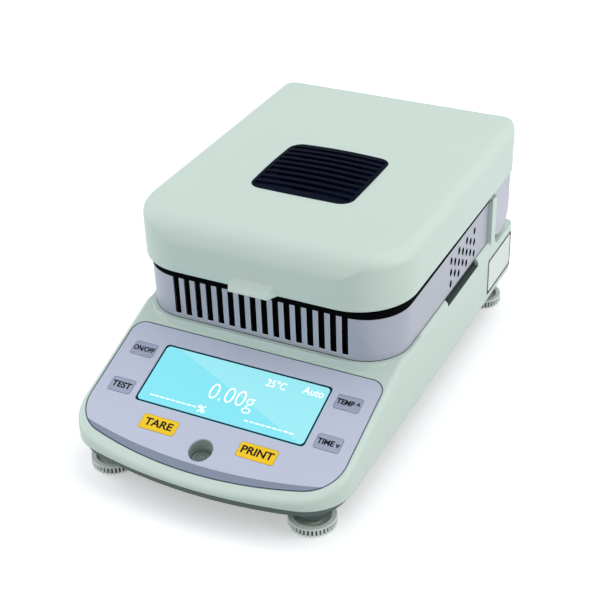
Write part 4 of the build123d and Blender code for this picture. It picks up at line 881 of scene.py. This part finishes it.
# contact holes of the serial socket, in two rows: dark discs painted as shade in the holes
serial = {"x": -0.040, "z": 0.046, "row": 0.00142, "sides": 16, "depth": 0.0001}
contactSizes = {"Count": 5, "Pitch": 0.00277, "Hole radius": 0.0005}
contactRows = {"serial_contacts_upper": (5, serial["row"]), "serial_contacts_lower": (4, -serial["row"])}


def contactTree():
    tree, graph, wires = newGeometryTree("contactRow", contactSizes)
    hole = graph.disc(serial["sides"], wires["Hole radius"], serial["depth"])
    endTree(graph, centredRow(graph, hole, wires["Count"], wires["Pitch"]), "sealBlack")
    return tree


contacts = contactTree()
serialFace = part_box("serial_socket")[1].y
for name, (count, height) in contactRows.items():
    mesh = runTree(contacts, name, {**contactSizes, "Count": count})
    mesh.transform(Matrix.Translation((serial["x"], serialFace, serial["z"] + height))
                   @ Matrix.Rotation(math.radians(90), 4, "X"))
    newPiece(name, mesh, "base", None)
print("screw heads and contacts ready")

# spirit level: domed vial with its rings
level = {"centre": (0, -0.1538), "radius": 0.0070, "low": 0.0290, "top": 0.0346, "dome": 0.0007,
         "round": 0.0004, "shoulder": 0.0014, "steps": 64}
domeRadius = level["radius"] - level["shoulder"]
vialProfile = [(0.0, level["low"]), (level["radius"], level["low"]),
               (level["radius"], level["top"] - level["round"]),
               (level["radius"] - level["round"], level["top"]), (domeRadius, level["top"])]
for share in (0.95, 0.8, 0.6, 0.4, 0.2, 0.0):
    vialProfile.append((share * domeRadius, level["top"] + level["dome"] * (1 - share * share)))
mesh = latheMesh("level_vial_dome", vialProfile, level["centre"], level["steps"])
vial = newPiece("level_vial_dome", mesh, "base", finishes["levelCup"])
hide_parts("level_vial")

ringLook = {"rise": 0.00012, "foot": 0.0003, "edgeShare": 0.4, "bevel": 0.0001, "steps": 48}
levelRings = {"level_ring": (0.0031, 0.0036), "level_ring_small": (0.0013, 0.0017)}
for name, (inside, outside) in levelRings.items():
    baseZ = level["top"] + level["dome"] * (1 - (outside / level["radius"]) ** 2)
    footZ, ringTop = baseZ - ringLook["foot"], baseZ + ringLook["rise"]
    shape = [(inside, footZ), (outside, footZ), (outside, baseZ + ringLook["rise"] * ringLook["edgeShare"]),
             (outside - ringLook["bevel"], ringTop), (inside, ringTop)]
    mesh = latheMesh(name, shape, level["centre"], ringLook["steps"])
    newPiece(name, mesh, "base", finishes["inkGrey"])

# lining of the level's hole, cut off along the slope of the panel; its grey-green darkens the hole as painted
# shade
lining = {"outer": 0.00845, "inner": 0.00815, "low": 0.0352, "under": 0.0007, "steps": 72}
points, faces = [], []
for k in range(lining["steps"]):
    turn = 2 * math.pi * k / lining["steps"]
    for wall, atTop in (("outer", False), ("outer", True), ("inner", True), ("inner", False)):
        x = lining[wall] * math.cos(turn)
        y = level["centre"][1] + lining[wall] * math.sin(turn)
        panelZ = panel["centre"][2] + (y - panel["centre"][1]) * math.tan(panel["slope"])
        points.append((x, y, panelZ - lining["under"] if atTop else lining["low"]))
    after = (k + 1) % lining["steps"]
    for i in range(4):
        n = (i + 1) % 4
        faces.append((4 * k + i, 4 * k + n, 4 * after + n, 4 * after + i))
mesh = meshFrom("level_lining", points, faces)
newPiece("level_lining", mesh, "base", finishes["levelLining"])
print("spirit level ready")

stageLook = {"shade": "B4B6B8", "seen": "F6F7F7", "lift": 0.36, "size": 6.0, "gap": 0.0002}


def stageMaterial(look):
    # pale floor: a little plain white for the camera on top of its diffuse, so that the shadow stays
    material, graph = newMaterial("paleFloor")
    seen = graph.directView()
    tone = graph.mix(seen, linearColour(look["shade"]), linearColour(look["seen"]))
    diffuse = graph.add("ShaderNodeBsdfDiffuse", {}, {"Color": tone})
    lift = graph.add("ShaderNodeEmission", {}, {"Color": (1, 1, 1, 1), "Strength": seen * look["lift"]})
    both = graph.add("ShaderNodeAddShader", {}, {0: diffuse, 1: lift})
    graph.add("ShaderNodeOutputMaterial", {}, {"Surface": both})
    return material


half = stageLook["size"] / 2
floorPoints = [(x * half, y * half, 0) for x, y in ((-1, -1), (1, -1), (1, 1), (-1, 1))]
floorMesh = meshFrom("studioFloor", floorPoints, [(0, 1, 2, 3)])
floorMesh.materials.append(stageMaterial(stageLook))
studioFloor = bpy.data.objects.new("studioFloor", floorMesh)
studioFloor.location.z = -stageLook["gap"]
scene.collection.objects.link(studioFloor)

worldLook = {"sky": "E8ECEE", "front": "B4BABE", "strength": 0.60, "frontWay": (0.2, -1.0, -0.2),
             "fadeFrom": -0.2, "fadeTo": 0.9}
world = bpy.data.worlds.new("studioWorld")
scene.world = world
world.use_nodes = True
sky = Graph(world.node_tree)
direction = sky.add("ShaderNodeTexCoord", {}, {}, "Generated")
towardsFront = sky.add("ShaderNodeMapRange", {}, {
    "Value": sky.dot(direction, worldLook["frontWay"]), "From Min": worldLook["fadeFrom"],
    "From Max": worldLook["fadeTo"]})
shade = sky.mix(towardsFront, linearColour(worldLook["sky"]), linearColour(worldLook["front"]))
lit = sky.add("ShaderNodeBackground", {}, {"Color": shade, "Strength": worldLook["strength"]})
seenWhite = sky.add("ShaderNodeBackground", {}, {"Color": (1, 1, 1, 1), "Strength": 1.0})
chosen = sky.add("ShaderNodeMixShader", {}, {0: sky.directView(), 1: lit, 2: seenWhite})
sky.add("ShaderNodeOutputWorld", {}, {"Surface": chosen})

lamps = {
    "topSoftbox": {"place": (0.25, 0.35, 1.5), "aim": (0, 0, 0.05), "size": (1.6, 1.2), "power": 7.5,
                   "colour": "FFFFFF"},
    "rightSoftbox": {"place": (1.5, 0.15, 0.55), "aim": (0, 0, 0.06), "size": (1.0, 1.0), "power": 10.0,
                     "colour": "FFFFFF"},
    "leftSoftbox": {"place": (-1.3, -0.2, 0.75), "aim": (0, 0, 0.06), "size": (0.9, 0.9), "power": 6.0,
                    "colour": "F4F8FF"},
    "frontSoftbox": {"place": (-0.2, -1.6, 0.45), "aim": (0, 0, 0.06), "size": (1.4, 0.6), "power": 6.0,
                     "colour": "FFFFFF"},
}


def aimTurn(look):
    # the turn that points a lamp or camera from its place to its aim
    return (Vector(look["aim"]) - Vector(look["place"])).to_track_quat("-Z", "Y")


for name, lamp in lamps.items():
    light = bpy.data.lights.new(name, "AREA")
    light.shape = "RECTANGLE"
    light.size, light.size_y = lamp["size"]
    light.energy = lamp["power"]
    light.color = linearColour(lamp["colour"])[:3]
    holder = bpy.data.objects.new(name, light)
    holder.location = lamp["place"]
    holder.rotation_euler = aimTurn(lamp).to_euler()
    scene.collection.objects.link(holder)

shot = {"place": (0.37423, -0.72392, 0.58038), "aim": (0.009648, -0.022683, 0.0846), "roll": -2.1,
        "lens": 78.456, "sensor": 36.0, "near": 0.05, "far": 50}
camera = bpy.data.cameras.new("photoCamera")
camera.lens = shot["lens"]
camera.sensor_width = shot["sensor"]
camera.clip_start, camera.clip_end = shot["near"], shot["far"]
view = bpy.data.objects.new("photoCamera", camera)
rolled = aimTurn(shot).to_matrix().to_4x4() @ Matrix.Rotation(math.radians(shot["roll"]), 4, "Z")
view.matrix_world = Matrix.Translation(shot["place"]) @ rolled
scene.collection.objects.link(view)
scene.camera = view
scene.view_settings.view_transform = "Standard"
print("stage, lamps and camera ready")
